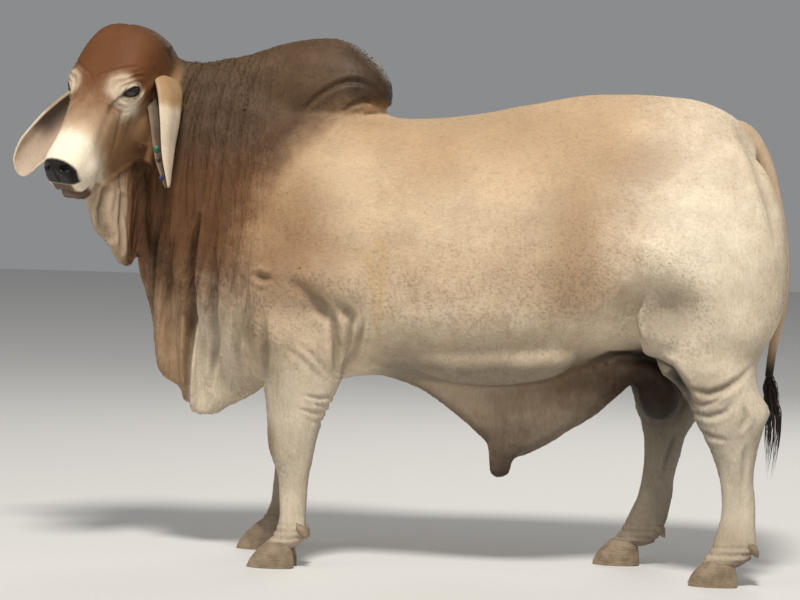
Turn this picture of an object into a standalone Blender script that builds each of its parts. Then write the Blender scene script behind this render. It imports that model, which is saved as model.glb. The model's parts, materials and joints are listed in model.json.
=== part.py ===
"""A standing Brahman bull, life size, with its head turned to its left.

Metres, +Z up. The bull faces -X and its left side is at -Y. The floor is z = 0.
The flesh is lofted in pieces, fused into one skin, sculpted by functions, and then parted
by thin cuts into head, neck, hump, dewlap, torso, legs, sheath and scrotum. Ears, eyes, horn
stubs, hooves, dewclaws, tail and ear tags are solids of their own, fitted to that skin.
"""
import math

import bmesh
import bpy
import numpy as np
from mathutils import Matrix, Vector

# Gap between touching nodes, and fineness of the fused skin
GAP = 0.0003
VOXEL = 0.017
HEAD_ZOOM = 2.2
HEAD_ZOOM_RADIUS = 0.45
SKIN_TRIANGLES = 5600

# Head: place of the poll, turn from -X towards -Y, pitch below level, tilt, and the eyes
POLL = Vector((-0.872, -0.10, 1.720))
HEAD_TURN = math.radians(60)
HEAD_PITCH = math.radians(46.5)
HEAD_TILT = math.radians(-8)
EYE_SPOT = Vector((0.253, 0.108, -0.010))
EYE_RADIUS = 0.021

# Feet: places on the floor of each hoof pair's middle
FEET = {
    "foreleg_left": (-0.365, -0.20),
    "foreleg_right": (-0.468, 0.19),
    "hindleg_left": (1.055, -0.205),
    "hindleg_right": (0.745, 0.165),
}
CLAW_SPACING = 0.033
CLAW_HEIGHT = 0.082
DEWCLAW_HEIGHT = 0.112
PASTERN_BACK = {"foreleg": -0.262, "hindleg": 1.180}

# Rings of a dewclaw and of a horn stub: reach along its axis and radius
DEWCLAW_RINGS = ((-0.032, 0.016), (-0.016, 0.019), (-0.003, 0.016), (0.004, 0.010))
HORN_RINGS = ((0.0, 0.017), (0.022, 0.015), (0.034, 0.009))
HORN_SPOT = Vector((0.025, 0.098, -0.035))

# Sections of the trunk: x, top, bottom, half width, height of the widest place
TRUNK = (
    (-0.66, 1.36, 0.74, 0.110, 1.00),
    (-0.58, 1.46, 0.63, 0.195, 1.02),
    (-0.46, 1.50, 0.575, 0.270, 1.03),
    (-0.30, 1.50, 0.580, 0.322, 1.02),
    (-0.12, 1.477, 0.610, 0.348, 1.01),
    (0.08, 1.470, 0.620, 0.370, 1.00),
    (0.28, 1.495, 0.612, 0.384, 0.99),
    (0.46, 1.535, 0.630, 0.365, 1.01),
    (0.62, 1.560, 0.675, 0.325, 1.07),
    (0.80, 1.563, 0.725, 0.300, 1.15),
    (0.96, 1.545, 0.800, 0.285, 1.18),
    (1.08, 1.490, 0.920, 0.240, 1.18),
    (1.15, 1.410, 1.020, 0.165, 1.19),
)

# Sections of the hump: the same columns
HUMP = (
    (-0.62, 1.650, 1.45, 0.060, 1.55),
    (-0.54, 1.665, 1.42, 0.090, 1.55),
    (-0.46, 1.695, 1.40, 0.115, 1.55),
    (-0.35, 1.724, 1.38, 0.135, 1.54),
    (-0.24, 1.730, 1.38, 0.142, 1.55),
    (-0.15, 1.698, 1.42, 0.135, 1.56),
    (-0.08, 1.640, 1.48, 0.105, 1.56),
    (-0.045, 1.585, 1.505, 0.060, 1.545),
)

# Sections of the neck: top x and z, bottom x and z, y at top and bottom, half width, turn in degrees
NECK = (
    (-0.20, 1.47, -0.36, 0.64, 0.00, 0.00, 0.280, 0),
    (-0.38, 1.59, -0.56, 0.68, 0.00, 0.00, 0.250, 0),
    (-0.52, 1.640, -0.68, 0.78, 0.00, 0.00, 0.205, 0),
    (-0.62, 1.640, -0.78, 0.90, -0.01, -0.01, 0.172, 5),
    (-0.70, 1.640, -0.85, 1.03, -0.02, -0.03, 0.155, 12),
    (-0.77, 1.650, -0.88, 1.16, -0.035, -0.05, 0.142, 22),
    (-0.82, 1.650, -0.90, 1.28, -0.055, -0.07, 0.128, 32),
)

# Sections of the dewlap: height, front, back, y, half thickness
DEWLAP = (
    (1.22, -0.862, -0.62, -0.050, 0.085),
    (1.10, -0.872, -0.58, -0.035, 0.085),
    (1.00, -0.882, -0.55, -0.020, 0.080),
    (0.90, -0.872, -0.50, -0.010, 0.075),
    (0.80, -0.850, -0.46, 0.000, 0.070),
    (0.70, -0.838, -0.43, 0.000, 0.062),
    (0.62, -0.805, -0.42, 0.000, 0.054),
    (0.56, -0.758, -0.45, 0.000, 0.045),
    (0.50, -0.705, -0.55, 0.000, 0.034),
    (0.465, -0.680, -0.62, 0.000, 0.024),
)

# Sections of the throat skin from chin to neck: x, y, top, bottom, half thickness
THROAT = (
    (-0.992, -0.300, 1.215, 1.165, 0.016),
    (-0.965, -0.262, 1.265, 1.070, 0.022),
    (-0.928, -0.198, 1.320, 0.995, 0.027),
    (-0.888, -0.130, 1.370, 0.957, 0.032),
    (-0.850, -0.065, 1.390, 0.985, 0.034),
)

# Sections of the near foreleg: height, front, back, y, half width
FORELEG = (
    (1.16, -0.480, -0.250, -0.190, 0.085),
    (1.05, -0.535, -0.170, -0.200, 0.115),
    (0.92, -0.530, -0.130, -0.203, 0.127),
    (0.80, -0.500, -0.120, -0.200, 0.120),
    (0.70, -0.460, -0.130, -0.200, 0.105),
    (0.62, -0.430, -0.155, -0.195, 0.090),
    (0.55, -0.418, -0.185, -0.195, 0.078),
    (0.48, -0.406, -0.215, -0.195, 0.068),
    (0.42, -0.403, -0.232, -0.195, 0.067),
    (0.36, -0.388, -0.248, -0.195, 0.062),
    (0.30, -0.365, -0.260, -0.195, 0.048),
    (0.22, -0.360, -0.262, -0.195, 0.043),
    (0.16, -0.362, -0.262, -0.195, 0.047),
    (0.11, -0.378, -0.262, -0.196, 0.057),
    (0.075, -0.400, -0.280, -0.198, 0.056),
    (0.058, -0.408, -0.292, -0.200, 0.050),
)

# Sections of the near hindleg: height, front, back, y, half width
HINDLEG = (
    (1.40, 0.840, 1.120, -0.120, 0.100),
    (1.30, 0.760, 1.190, -0.145, 0.145),
    (1.18, 0.710, 1.232, -0.165, 0.175),
    (1.05, 0.700, 1.252, -0.175, 0.190),
    (0.92, 0.735, 1.250, -0.180, 0.185),
    (0.82, 0.770, 1.225, -0.185, 0.165),
    (0.74, 0.800, 1.180, -0.190, 0.140),
    (0.68, 0.845, 1.165, -0.200, 0.118),
    (0.62, 0.910, 1.178, -0.205, 0.096),
    (0.56, 0.950, 1.210, -0.205, 0.080),
    (0.50, 0.985, 1.190, -0.205, 0.068),
    (0.43, 1.020, 1.174, -0.205, 0.056),
    (0.34, 1.050, 1.170, -0.205, 0.047),
    (0.26, 1.060, 1.176, -0.205, 0.045),
    (0.19, 1.055, 1.180, -0.205, 0.047),
    (0.13, 1.040, 1.182, -0.205, 0.057),
    (0.085, 1.015, 1.160, -0.205, 0.058),
    (0.060, 1.005, 1.130, -0.205, 0.052),
)

# How far a leg's foot reaches past the near leg's: along X, in Y, height where it starts, curve
SWING = {
    "foreleg_left": (0.0, 0.0, 1.0, 1.0),
    "foreleg_right": (-0.105, -0.01, 0.95, 1.0),
    "hindleg_left": (0.0, 0.0, 1.0, 1.0),
    "hindleg_right": (-0.315, -0.04, 1.02, 0.72),
}

# Sections of the sheath's sheet: x, top, bottom, half thickness
SHEATH = (
    (-0.060, 0.66, 0.615, 0.030),
    (0.060, 0.68, 0.575, 0.035),
    (0.180, 0.68, 0.505, 0.040),
    (0.260, 0.68, 0.440, 0.045),
    (0.320, 0.68, 0.390, 0.048),
    (0.400, 0.68, 0.360, 0.050),
    (0.470, 0.68, 0.385, 0.050),
    (0.560, 0.68, 0.440, 0.050),
    (0.660, 0.70, 0.510, 0.048),
    (0.760, 0.73, 0.610, 0.042),
)

# Sections of the sheath's tip and of the scrotum: height, front, back, y, half width
SHEATH_TIP = (
    (0.46, 0.280, 0.440, 0.0, 0.046),
    (0.39, 0.303, 0.405, 0.0, 0.044),
    (0.34, 0.308, 0.388, 0.0, 0.037),
    (0.295, 0.314, 0.376, 0.0, 0.028),
)
SCROTUM = (
    (0.78, 0.800, 0.920, 0.0, 0.040),
    (0.68, 0.795, 0.925, 0.0, 0.052),
    (0.60, 0.785, 0.932, 0.0, 0.070),
    (0.54, 0.795, 0.928, 0.0, 0.073),
    (0.505, 0.820, 0.905, 0.0, 0.055),
)

# Sections of the head in its own frame: along the face, forehead side, jaw side, half width,
# depth of the widest place, squareness of the forehead side
HEAD = (
    (-0.035, -0.040, -0.215, 0.085, -0.09, 2.3),
    (0.000, 0.042, -0.250, 0.112, -0.06, 2.4),
    (0.045, 0.086, -0.280, 0.128, -0.03, 2.5),
    (0.110, 0.100, -0.290, 0.136, -0.01, 2.6),
    (0.185, 0.088, -0.280, 0.138, -0.005, 2.6),
    (0.250, 0.062, -0.262, 0.129, -0.015, 2.5),
    (0.320, 0.033, -0.240, 0.104, -0.04, 2.4),
    (0.400, 0.014, -0.222, 0.086, -0.06, 2.3),
    (0.475, 0.003, -0.206, 0.077, -0.075, 2.2),
    (0.535, -0.004, -0.198, 0.079, -0.085, 2.2),
    (0.575, -0.016, -0.184, 0.072, -0.090, 2.2),
    (0.596, -0.038, -0.155, 0.050, -0.090, 2.2),
)

# Forms raised (+) or pressed (-) on both sides of the head: centre in head coordinates,
# stretch of each axis, width, height: orbit, brow, hollow of the cheek, nostril
HEAD_FORMS = (
    (EYE_SPOT, (1.0, 0.8, 1.15), 0.030, -0.012),
    (EYE_SPOT + Vector((-0.035, -0.015, 0.030)), (1.0, 1.0, 1.0), 0.026, 0.013),
    (Vector((0.360, 0.090, -0.020)), (1.0, 1.0, 1.0), 0.050, -0.008),
    (Vector((0.600, 0.044, -0.055)), (0.6, 1.0, 1.0), 0.015, -0.020),
)
MOUTH_OUT = -0.128
MOUTH_SLOPE = 0.10
MOUTH_DEPTH = 0.008
MOUTH_CORNER = 0.43
PHILTRUM_DEPTH = 0.004

# Folds of the dewlap: spacing, depth, lean, where they end towards the trunk
DRAPE_PITCH = 0.115
DRAPE_DEPTH = 0.008
DRAPE_LEAN = 0.12
DRAPE_BACK = -0.56

# Hollows of the flank and behind the elbow: place in x and z, stretch of z, width, depth
BODY_HOLLOWS = (
    ((0.64, 0.95), 1.0, 0.13, 0.020),
    ((-0.10, 0.75), 0.6, 0.05, 0.012),
)

# Ears: middle line of each hanging cup from root to tip, and the way its hollow faces
EAR_LINE = {
    "left": (
        (-0.800, -0.110, 1.560), (-0.755, -0.190, 1.530), (-0.740, -0.236, 1.440),
        (-0.740, -0.250, 1.330), (-0.733, -0.252, 1.218),
    ),
    "right": (
        (-0.975, -0.045, 1.545), (-1.078, -0.060, 1.478), (-1.172, -0.058, 1.390),
        (-1.240, -0.055, 1.315), (-1.277, -0.052, 1.248),
    ),
}
EAR_MOUTH = {"left": Vector((-0.92, -0.34, -0.05)), "right": Vector((-0.35, -0.90, -0.15))}
EAR_WIDTH = {"left": 0.078, "right": 0.120}
EAR_DEPTH = {"left": 0.082, "right": 0.046}
EAR_THICKNESS = 0.0075
EAR_STATIONS = 12
EAR_ARC_POINTS = 7

# Button tags in the left ear: share of the way to the tip, place across the cup, radius
TAGS = {
    "tag_green": (0.52, -0.30, 0.0145),
    "tag_dark": (0.635, -0.22, 0.0085),
    "tag_blue": (0.83, -0.25, 0.0100),
}
TAG_THICKNESS = 0.004

# The cut behind the jaw: a point on it, the way it faces from -X towards -Y, its lean
HEAD_CUT_SPOT = Vector((-0.800, -0.03, 1.40))
HEAD_CUT_TURN = 20
HEAD_CUT_LEAN = 0.085

# Outlines of the other cuts in x and z
SCROTUM_CUT = ((0.765, 0.40), (0.765, 0.735), (0.955, 0.735), (0.955, 0.40))
SHEATH_CUT = ((-0.13, 0.1), (-0.13, 0.65), (0.30, 0.65), (0.55, 0.70), (0.7645, 0.76), (0.7645, 0.1))
HUMP_CUT = (
    (-0.64, 1.90), (-0.62, 1.66), (-0.54, 1.60), (-0.40, 1.51), (-0.20, 1.455),
    (-0.10, 1.452), (-0.02, 1.535), (0.02, 1.60), (0.02, 1.90),
)
FORELEG_CUT = (
    (-0.72, -0.05), (-0.58, 0.50), (-0.55, 0.80), (-0.53, 1.02), (-0.42, 1.14),
    (-0.28, 1.12), (-0.15, 0.98), (-0.10, 0.80), (-0.115, 0.66), (-0.13, 0.55), (-0.10, -0.05),
)
HINDLEG_CUT = (
    (0.50, -0.05), (0.68, 0.56), (0.735, 0.80), (0.72, 1.05), (0.80, 1.22),
    (0.95, 1.30), (1.10, 1.28), (1.40, 1.22), (1.40, -0.05),
)
DEWLAP_CUT = (
    (-1.20, 1.12), (-0.86, 1.12), (-0.73, 0.98), (-0.63, 0.80), (-0.50, 0.66),
    (-0.38, 0.60), (-0.33, 0.50), (-0.33, 0.20), (-1.20, 0.20),
)
NECK_CUT = ((-1.4, 1.95), (-0.30, 1.95), (-0.40, 1.35), (-0.55, 1.0), (-0.62, 0.4), (-1.4, 0.4))

# Tail: centre line x and z with radius; then the tassel's middle line and its locks
TAIL = (
    (1.040, 1.480, 0.040),
    (1.115, 1.446, 0.034),
    (1.165, 1.370, 0.027),
    (1.204, 1.265, 0.023),
    (1.236, 1.120, 0.020),
    (1.250, 0.980, 0.018),
    (1.243, 0.860, 0.016),
    (1.222, 0.750, 0.014),
    (1.212, 0.655, 0.013),
)
SWITCH_LINE = ((1.212, 0.668), (1.222, 0.580), (1.232, 0.480), (1.222, 0.320))
SWITCH_CORE_END = 0.50
SWITCH_LOCKS = 13
LOCK_WIDTH = 0.022
LOCK_THICKNESS = 0.007

# Colours as in the live animal: red, green, blue of the base colour
COLOURS = {
    "fawn": (0.58, 0.41, 0.27),
    "cream": (0.70, 0.60, 0.48),
    "umber": (0.17, 0.11, 0.08),
    "red_brown": (0.33, 0.17, 0.09),
    "hoof": (0.30, 0.24, 0.18),
    "black": (0.012, 0.011, 0.011),
    "dark_skin": (0.10, 0.05, 0.04),
    "tag_green": (0.03, 0.25, 0.10),
    "tag_blue": (0.02, 0.05, 0.30),
    "tag_dark": (0.015, 0.015, 0.018),
}


def clear_scene():
    for thing in list(bpy.data.objects):
        bpy.data.objects.remove(thing, do_unlink=True)


def material(name, roughness=0.75):
    known = bpy.data.materials.get(name)
    if known:
        return known
    made = bpy.data.materials.new(name)
    made.use_nodes = True
    shader = made.node_tree.nodes["Principled BSDF"]
    shader.inputs["Base Color"].default_value = (*COLOURS[name], 1.0)
    shader.inputs["Roughness"].default_value = roughness
    shader.inputs["Metallic"].default_value = 0.0
    return made


def add_object(name, bm, colour=None):
    mesh = bpy.data.meshes.new(name)
    bm.normal_update()
    bm.to_mesh(mesh)
    bm.free()
    thing = bpy.data.objects.new(name, mesh)
    bpy.context.scene.collection.objects.link(thing)
    if colour:
        mesh.materials.append(material(colour))
    return thing


def remove(thing):
    bpy.data.objects.remove(thing, do_unlink=True)


def between_rows(rows, steps):
    """Rows of a table with smooth in-between rows, by cubic curves through the given ones."""
    table = np.array(rows, float)
    slope = np.gradient(table, axis=0)
    out = []
    for i in range(len(table) - 1):
        for k in range(steps):
            t = k / steps
            out.append(
                (2 * t**3 - 3 * t**2 + 1) * table[i]
                + (t**3 - 2 * t**2 + t) * slope[i]
                + (3 * t**2 - 2 * t**3) * table[i + 1]
                + (t**3 - t**2) * slope[i + 1]
            )
    out.append(table[-1])
    return np.array(out)


def oval(angle, power):
    """Point on a unit superellipse."""
    c, s = math.cos(angle), math.sin(angle)
    return math.copysign(abs(c) ** (2 / power), c), math.copysign(abs(s) ** (2 / power), s)


def loft(name, rings, bulge=0.4):
    """Closed skin over rings of points, with a low dome at each end."""
    bm = bmesh.new()
    layers = [[bm.verts.new(p) for p in ring] for ring in rings]
    count = len(layers[0])
    for lower, upper in zip(layers, layers[1:]):
        for i in range(count):
            j = (i + 1) % count
            bm.faces.new((lower[i], lower[j], upper[j], upper[i]))
    for layer, inner in ((layers[0], rings[1]), (layers[-1], rings[-2])):
        ring = [v.co for v in layer]
        middle = sum(ring, Vector()) / count
        inner_middle = sum((Vector(p) for p in inner), Vector()) / count
        tip = bm.verts.new(middle + (middle - inner_middle) * bulge)
        for i in range(count):
            bm.faces.new((layer[i], layer[(i + 1) % count], tip))
    bmesh.ops.recalc_face_normals(bm, faces=bm.faces)
    return add_object(name, bm)


def upright_loft(name, rows, count=32, steps=3, power=2.15):
    """Sections square to X: x, top, bottom, half width, height of the widest place."""
    rings = []
    for x, top, bottom, half, waist in between_rows(rows, steps):
        ring = []
        for i in range(count):
            c, s = oval(2 * math.pi * i / count, power)
            reach = top - waist if s > 0 else waist - bottom
            ring.append(Vector((x, half * c, waist + reach * s)))
        rings.append(ring)
    return loft(name, rings)


def level_loft(name, rows, move=None, count=20, steps=2, power=2.2):
    """Level sections: height, front, back, y, half width. move shifts a point by its height."""
    rings = []
    for z, front, back, y, half in between_rows(rows, steps):
        dx, dy = move(z) if move else (0.0, 0.0)
        ring = []
        for i in range(count):
            c, s = oval(2 * math.pi * i / count, power)
            x = (front + back) / 2 + (back - front) / 2 * c + dx
            ring.append(Vector((x, y + half * s + dy, z)))
        rings.append(ring)
    return loft(name, rings)


def neck_loft():
    rings = []
    for tx, tz, bx, bz, ty, by, half, turn in between_rows(NECK, 3):
        top, bottom = Vector((tx, ty, tz)), Vector((bx, by, bz))
        middle, upward = (top + bottom) / 2, (top - bottom) / 2
        side = Vector((math.sin(math.radians(turn)), -math.cos(math.radians(turn)), 0.0))
        ring = []
        for i in range(28):
            c, s = oval(2 * math.pi * i / 28, 2.1)
            ring.append(middle + side * (half * c * (1 - 0.22 * s)) + upward * s)
        rings.append(ring)
    return loft("neck_form", rings)


def throat_loft():
    rows = between_rows(THROAT, 3)
    heading = np.gradient(rows[:, :2], axis=0)
    rings = []
    for (x, y, top, bottom, half), (hx, hy) in zip(rows, heading):
        across = Vector((-hy, hx, 0.0)).normalized()
        middle = Vector((x, y, (top + bottom) / 2))
        ring = []
        for i in range(16):
            c, s = oval(2 * math.pi * i / 16, 2.4)
            ring.append(middle + across * (half * c) + Vector((0, 0, (top - bottom) / 2 * s)))
        rings.append(ring)
    return loft("throat_form", rings)


def sheath_loft():
    rings = []
    for x, top, bottom, half in between_rows(SHEATH, 3):
        ring = []
        for i in range(16):
            c, s = oval(2 * math.pi * i / 16, 2.4)
            ring.append(Vector((x, half * c, (top + bottom) / 2 + (top - bottom) / 2 * s)))
        rings.append(ring)
    return loft("sheath_form", rings)


def swing(leg):
    reach_x, reach_y, start, curve = SWING[leg]

    def move(z):
        share = max(0.0, 1 - z / start) ** curve
        return reach_x * share, reach_y * share

    return move


def mirrored(rows):
    return [(z, front, back, -y, half) for z, front, back, y, half in rows]


def head_frame():
    """Head axes in the world: along the face, to its left, out of the forehead."""
    level = Vector((-math.cos(HEAD_TURN), -math.sin(HEAD_TURN), 0.0))
    along = level * math.cos(HEAD_PITCH) - Vector((0, 0, math.sin(HEAD_PITCH)))
    left = Vector((math.sin(HEAD_TURN), -math.cos(HEAD_TURN), 0.0))
    out = along.cross(left)
    if out.z < 0:
        out = -out
    tilt = Matrix.Rotation(HEAD_TILT, 3, along)
    return along, tilt @ left, tilt @ out


def head_point(along, left, out):
    f, l, d = head_frame()
    return POLL + f * along + l * left + d * out


def head_loft():
    rings = []
    for along, top, bottom, half, waist, square in between_rows(HEAD, 3):
        ring = []
        for i in range(32):
            c, s = oval(2 * math.pi * i / 32, square if i < 16 else 2.1)
            reach = top - waist if s > 0 else waist - bottom
            ring.append(head_point(along, half * c, waist + reach * s))
        rings.append(ring)
    return loft("head_form", rings)


def evaluate(thing):
    """Apply the modifiers of an object."""
    graph = bpy.context.evaluated_depsgraph_get()
    mesh = bpy.data.meshes.new_from_object(thing.evaluated_get(graph))
    old = thing.data
    thing.modifiers.clear()
    thing.data = mesh
    bpy.data.meshes.remove(old)


def points_of(mesh):
    flat = np.empty(len(mesh.vertices) * 3)
    mesh.vertices.foreach_get("co", flat)
    return flat.reshape(-1, 3)


def set_points(mesh, points):
    mesh.vertices.foreach_set("co", np.asarray(points, float).ravel())
    mesh.update()


def zoom_centre():
    return np.array(head_point(0.27, 0.0, -0.10))


def zoomed(points):
    """Space swelled round the head, so that even steps there are finer on the real head."""
    centre = zoom_centre()
    away = points - centre
    r = np.linalg.norm(away, axis=1, keepdims=True)
    return centre + away * (1 + (HEAD_ZOOM - 1) * np.exp(-((r / HEAD_ZOOM_RADIUS) ** 2)))


def unzoomed(points):
    """The inverse of zoomed, by bisection along each ray from the centre."""
    centre = zoom_centre()
    away = points - centre
    far = np.maximum(np.linalg.norm(away, axis=1, keepdims=True), 1e-9)
    low, high = np.zeros_like(far), far.copy()
    for _ in range(40):
        r = (low + high) / 2
        reach = r * (1 + (HEAD_ZOOM - 1) * np.exp(-((r / HEAD_ZOOM_RADIUS) ** 2)))
        low = np.where(reach < far, r, low)
        high = np.where(reach < far, high, r)
    return centre + away / far * (low + high) / 2


def joined(name, things):
    bm = bmesh.new()
    for thing in things:
        bm.from_mesh(thing.data)
        remove(thing)
    return add_object(name, bm)


def modifier(thing, kind, **settings):
    made = thing.modifiers.new(kind.lower(), kind)
    for key, value in settings.items():
        setattr(made, key, value)
    evaluate(thing)


def flesh():
    """All forms of flesh fused into one skin, smoothed."""
    forms = [
        upright_loft("trunk_form", TRUNK),
        upright_loft("hump_form", HUMP, power=2.0),
        neck_loft(),
        level_loft("dewlap_form", DEWLAP, power=2.4),
        throat_loft(),
        head_loft(),
        sheath_loft(),
        level_loft("tip_form", SHEATH_TIP),
        level_loft("scrotum_form", SCROTUM, power=2.0),
    ]
    for leg in FEET:
        rows = FORELEG if leg.startswith("fore") else HINDLEG
        rows = rows if leg.endswith("left") else mirrored(rows)
        forms.append(level_loft(leg + "_form", rows, swing(leg)))
    skin = joined("skin", forms)
    set_points(skin.data, zoomed(points_of(skin.data)))
    modifier(skin, "REMESH", mode="VOXEL", voxel_size=VOXEL)
    modifier(skin, "SMOOTH", factor=0.6, iterations=3)
    set_points(skin.data, unzoomed(points_of(skin.data)))
    return skin


def head_coordinates(points):
    f, l, d = (np.array(axis) for axis in head_frame())
    away = points - np.array(POLL)
    return away @ f, away @ l, away @ d


def dent(points, normals, amount):
    return points + normals * amount[:, None]


def bump(distance, width):
    return np.exp(-((distance / width) ** 2))


def vertex_normals(mesh):
    flat = np.empty(len(mesh.vertices) * 3)
    mesh.vertices.foreach_get("normal", flat)
    return flat.reshape(-1, 3)


def spot_distance(coordinates, centre, stretch):
    """Distance of each point from a centre in head coordinates, both sides of the head alike."""
    along, side, out = coordinates
    return np.sqrt(
        ((along - centre[0]) * stretch[0]) ** 2
        + ((side - centre[1]) * stretch[1]) ** 2
        + ((out - centre[2]) * stretch[2]) ** 2
    )


def sculpt_head(skin):
    """Brow, orbit, nostrils, philtrum and mouth line pressed and raised in the skin."""
    points = points_of(skin.data)
    normals = vertex_normals(skin.data)
    along, left, out = head_coordinates(points)
    side = np.abs(left)
    on_head = (along > -0.02) & (along < 0.66) & (side < 0.2) & (out > -0.35) & (out < 0.14)
    amount = np.zeros(len(points))
    for centre, stretch, width, height in HEAD_FORMS:
        amount += height * bump(spot_distance((along, side, out), centre, stretch), width)
    mouth = np.abs(out - MOUTH_OUT - MOUTH_SLOPE * np.clip(0.6 - along, 0, 0.2))
    amount -= MOUTH_DEPTH * bump(mouth, 0.009) * np.clip((along - MOUTH_CORNER) / 0.05, 0, 1)
    front = np.clip((along - 0.555) / 0.03, 0, 1)
    pad = np.clip((out + 0.10) / 0.03, 0, 1) * (out < -0.03)
    amount -= PHILTRUM_DEPTH * bump(left, 0.004) * front * pad
    amount[~on_head] = 0.0
    set_points(skin.data, dent(points, normals, amount))


def sculpt_body(skin):
    """Long folds of the dewlap, and the hollows of flank and elbow."""
    points = points_of(skin.data)
    normals = vertex_normals(skin.data)
    x, y, z = points.T
    wave = x - DRAPE_LEAN * z + 0.02 * np.sin(z * 9)
    drape = np.clip((DRAPE_BACK - x) / 0.1, 0, 1) * np.clip((1.20 - z) / 0.3, 0, 1)
    drape *= np.clip((z - 0.5) / 0.1, 0, 1) * (np.abs(y) < 0.2)
    amount = DRAPE_DEPTH * np.sin(wave * 2 * math.pi / DRAPE_PITCH) * drape
    for (hx, hz), stretch, width, depth in BODY_HOLLOWS:
        hollow = np.hypot(x - hx, (z - hz) * stretch)
        amount -= depth * bump(hollow, width) * (np.abs(y) > 0.15)
    set_points(skin.data, dent(points, normals, amount))


def slim(skin):
    """Fewer triangles, kept finest on the head."""
    set_points(skin.data, zoomed(points_of(skin.data)))
    modifier(skin, "TRIANGULATE")
    ratio = SKIN_TRIANGLES / len(skin.data.polygons)
    modifier(skin, "DECIMATE", ratio=min(1.0, ratio))
    set_points(skin.data, unzoomed(points_of(skin.data)))


def inflate(thing, distance):
    """Move the surface out by an even distance."""
    bm = bmesh.new()
    bm.from_mesh(thing.data)
    bm.normal_update()
    shift = [v.normal * distance * min(v.calc_shell_factor(), 2.0) for v in bm.verts]
    for v, step in zip(bm.verts, shift):
        v.co += step
    bm.to_mesh(thing.data)
    bm.free()


def copy_of(thing, name):
    made = bpy.data.objects.new(name, thing.data.copy())
    bpy.context.scene.collection.objects.link(made)
    return made


def boolean(thing, tool, operation):
    modifier(thing, "BOOLEAN", object=tool, operation=operation, solver="EXACT")


def keep_largest(thing):
    """Drop every closed surface but the largest, and thin scraps of edges."""
    bm = bmesh.new()
    bm.from_mesh(thing.data)
    bmesh.ops.remove_doubles(bm, verts=bm.verts, dist=2e-6)
    bmesh.ops.dissolve_degenerate(bm, edges=bm.edges, dist=2e-6)
    bmesh.ops.triangulate(bm, faces=bm.faces)
    left = set(bm.verts)
    groups = []
    while left:
        seed = left.pop()
        group, todo = {seed}, [seed]
        while todo:
            for edge in todo.pop().link_edges:
                for other in edge.verts:
                    if other in left:
                        left.remove(other)
                        group.add(other)
                        todo.append(other)
        groups.append(group)
    groups.sort(key=len)
    scraps = [v for group in groups[:-1] for v in group]
    bmesh.ops.delete(bm, geom=scraps, context="VERTS")
    bm.to_mesh(thing.data)
    bm.free()


def prism(outline, low, high):
    """Block over an outline in x and z, from y = low to y = high."""
    bm = bmesh.new()
    near = [bm.verts.new((x, low, z)) for x, z in outline]
    far = [bm.verts.new((x, high, z)) for x, z in outline]
    bm.faces.new(near)
    bm.faces.new(far)
    for i in range(len(outline)):
        j = (i + 1) % len(outline)
        bm.faces.new((near[i], near[j], far[j], far[i]))
    bmesh.ops.recalc_face_normals(bm, faces=bm.faces)
    bmesh.ops.triangulate(bm, faces=bm.faces)
    return add_object("region", bm)


def head_region():
    """Block that holds the head and throat skin, with its back face behind the jaw."""
    turn = math.radians(HEAD_CUT_TURN)
    ahead = Vector((-math.cos(turn), -math.sin(turn), 0.0))
    side = Vector((-ahead.y, ahead.x, 0.0))
    bm = bmesh.new()
    corners = []
    for z, back in ((0.80, HEAD_CUT_LEAN), (2.0, -HEAD_CUT_LEAN)):
        for reach, across in ((back, -0.5), (back, 0.5), (0.9, 0.5), (0.9, -0.5)):
            spot = HEAD_CUT_SPOT + ahead * reach + side * across
            corners.append(bm.verts.new((spot.x, spot.y, z)))
    for face in ((0, 1, 2, 3), (4, 5, 6, 7), (0, 1, 5, 4), (1, 2, 6, 5), (2, 3, 7, 6), (3, 0, 4, 7)):
        bm.faces.new([corners[i] for i in face])
    bmesh.ops.recalc_face_normals(bm, faces=bm.faces)
    bmesh.ops.triangulate(bm, faces=bm.faces)
    return add_object("region", bm)


def part_off(skin, region, name, colour):
    """Cut a node out of the skin along a region, with a thin gap between the two."""
    piece = copy_of(skin, name)
    boolean(piece, region, "INTERSECT")
    keep_largest(piece)
    piece.data.materials.clear()
    piece.data.materials.append(material(colour))
    inflate(region, GAP)
    boolean(skin, region, "DIFFERENCE")
    keep_largest(skin)
    remove(region)
    return piece


def body_nodes(skin):
    nodes = {}

    def take(name, region, colour):
        nodes[name] = part_off(skin, region, name, colour)

    take("head", head_region(), "red_brown")
    take("scrotum", prism(SCROTUM_CUT, -0.082, 0.082), "dark_skin")
    take("sheath", prism(SHEATH_CUT, -0.075, 0.075), "fawn")
    take("hump", prism(HUMP_CUT, -0.6, 0.6), "umber")
    take("foreleg_left", prism(FORELEG_CUT, -0.7, -0.115), "cream")
    take("foreleg_right", prism(FORELEG_CUT, 0.115, 0.7), "cream")
    take("hindleg_left", prism(HINDLEG_CUT, -0.7, -0.05), "cream")
    take("hindleg_right", prism(HINDLEG_CUT, 0.05, 0.7), "cream")
    take("dewlap", prism(DEWLAP_CUT, -0.5, 0.5), "fawn")
    take("neck", prism(NECK_CUT, -0.7, 0.7), "umber")
    skin.name = "torso"
    skin.data.materials.clear()
    skin.data.materials.append(material("fawn"))
    nodes["torso"] = skin
    return nodes


def fit_round(nodes, host, guest):
    """Sink the guest into its host: the host is cut away round it with a thin gap."""
    tool = copy_of(guest, "tool")
    inflate(tool, GAP)
    boolean(nodes[host], tool, "DIFFERENCE")
    keep_largest(nodes[host])
    remove(tool)


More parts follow.
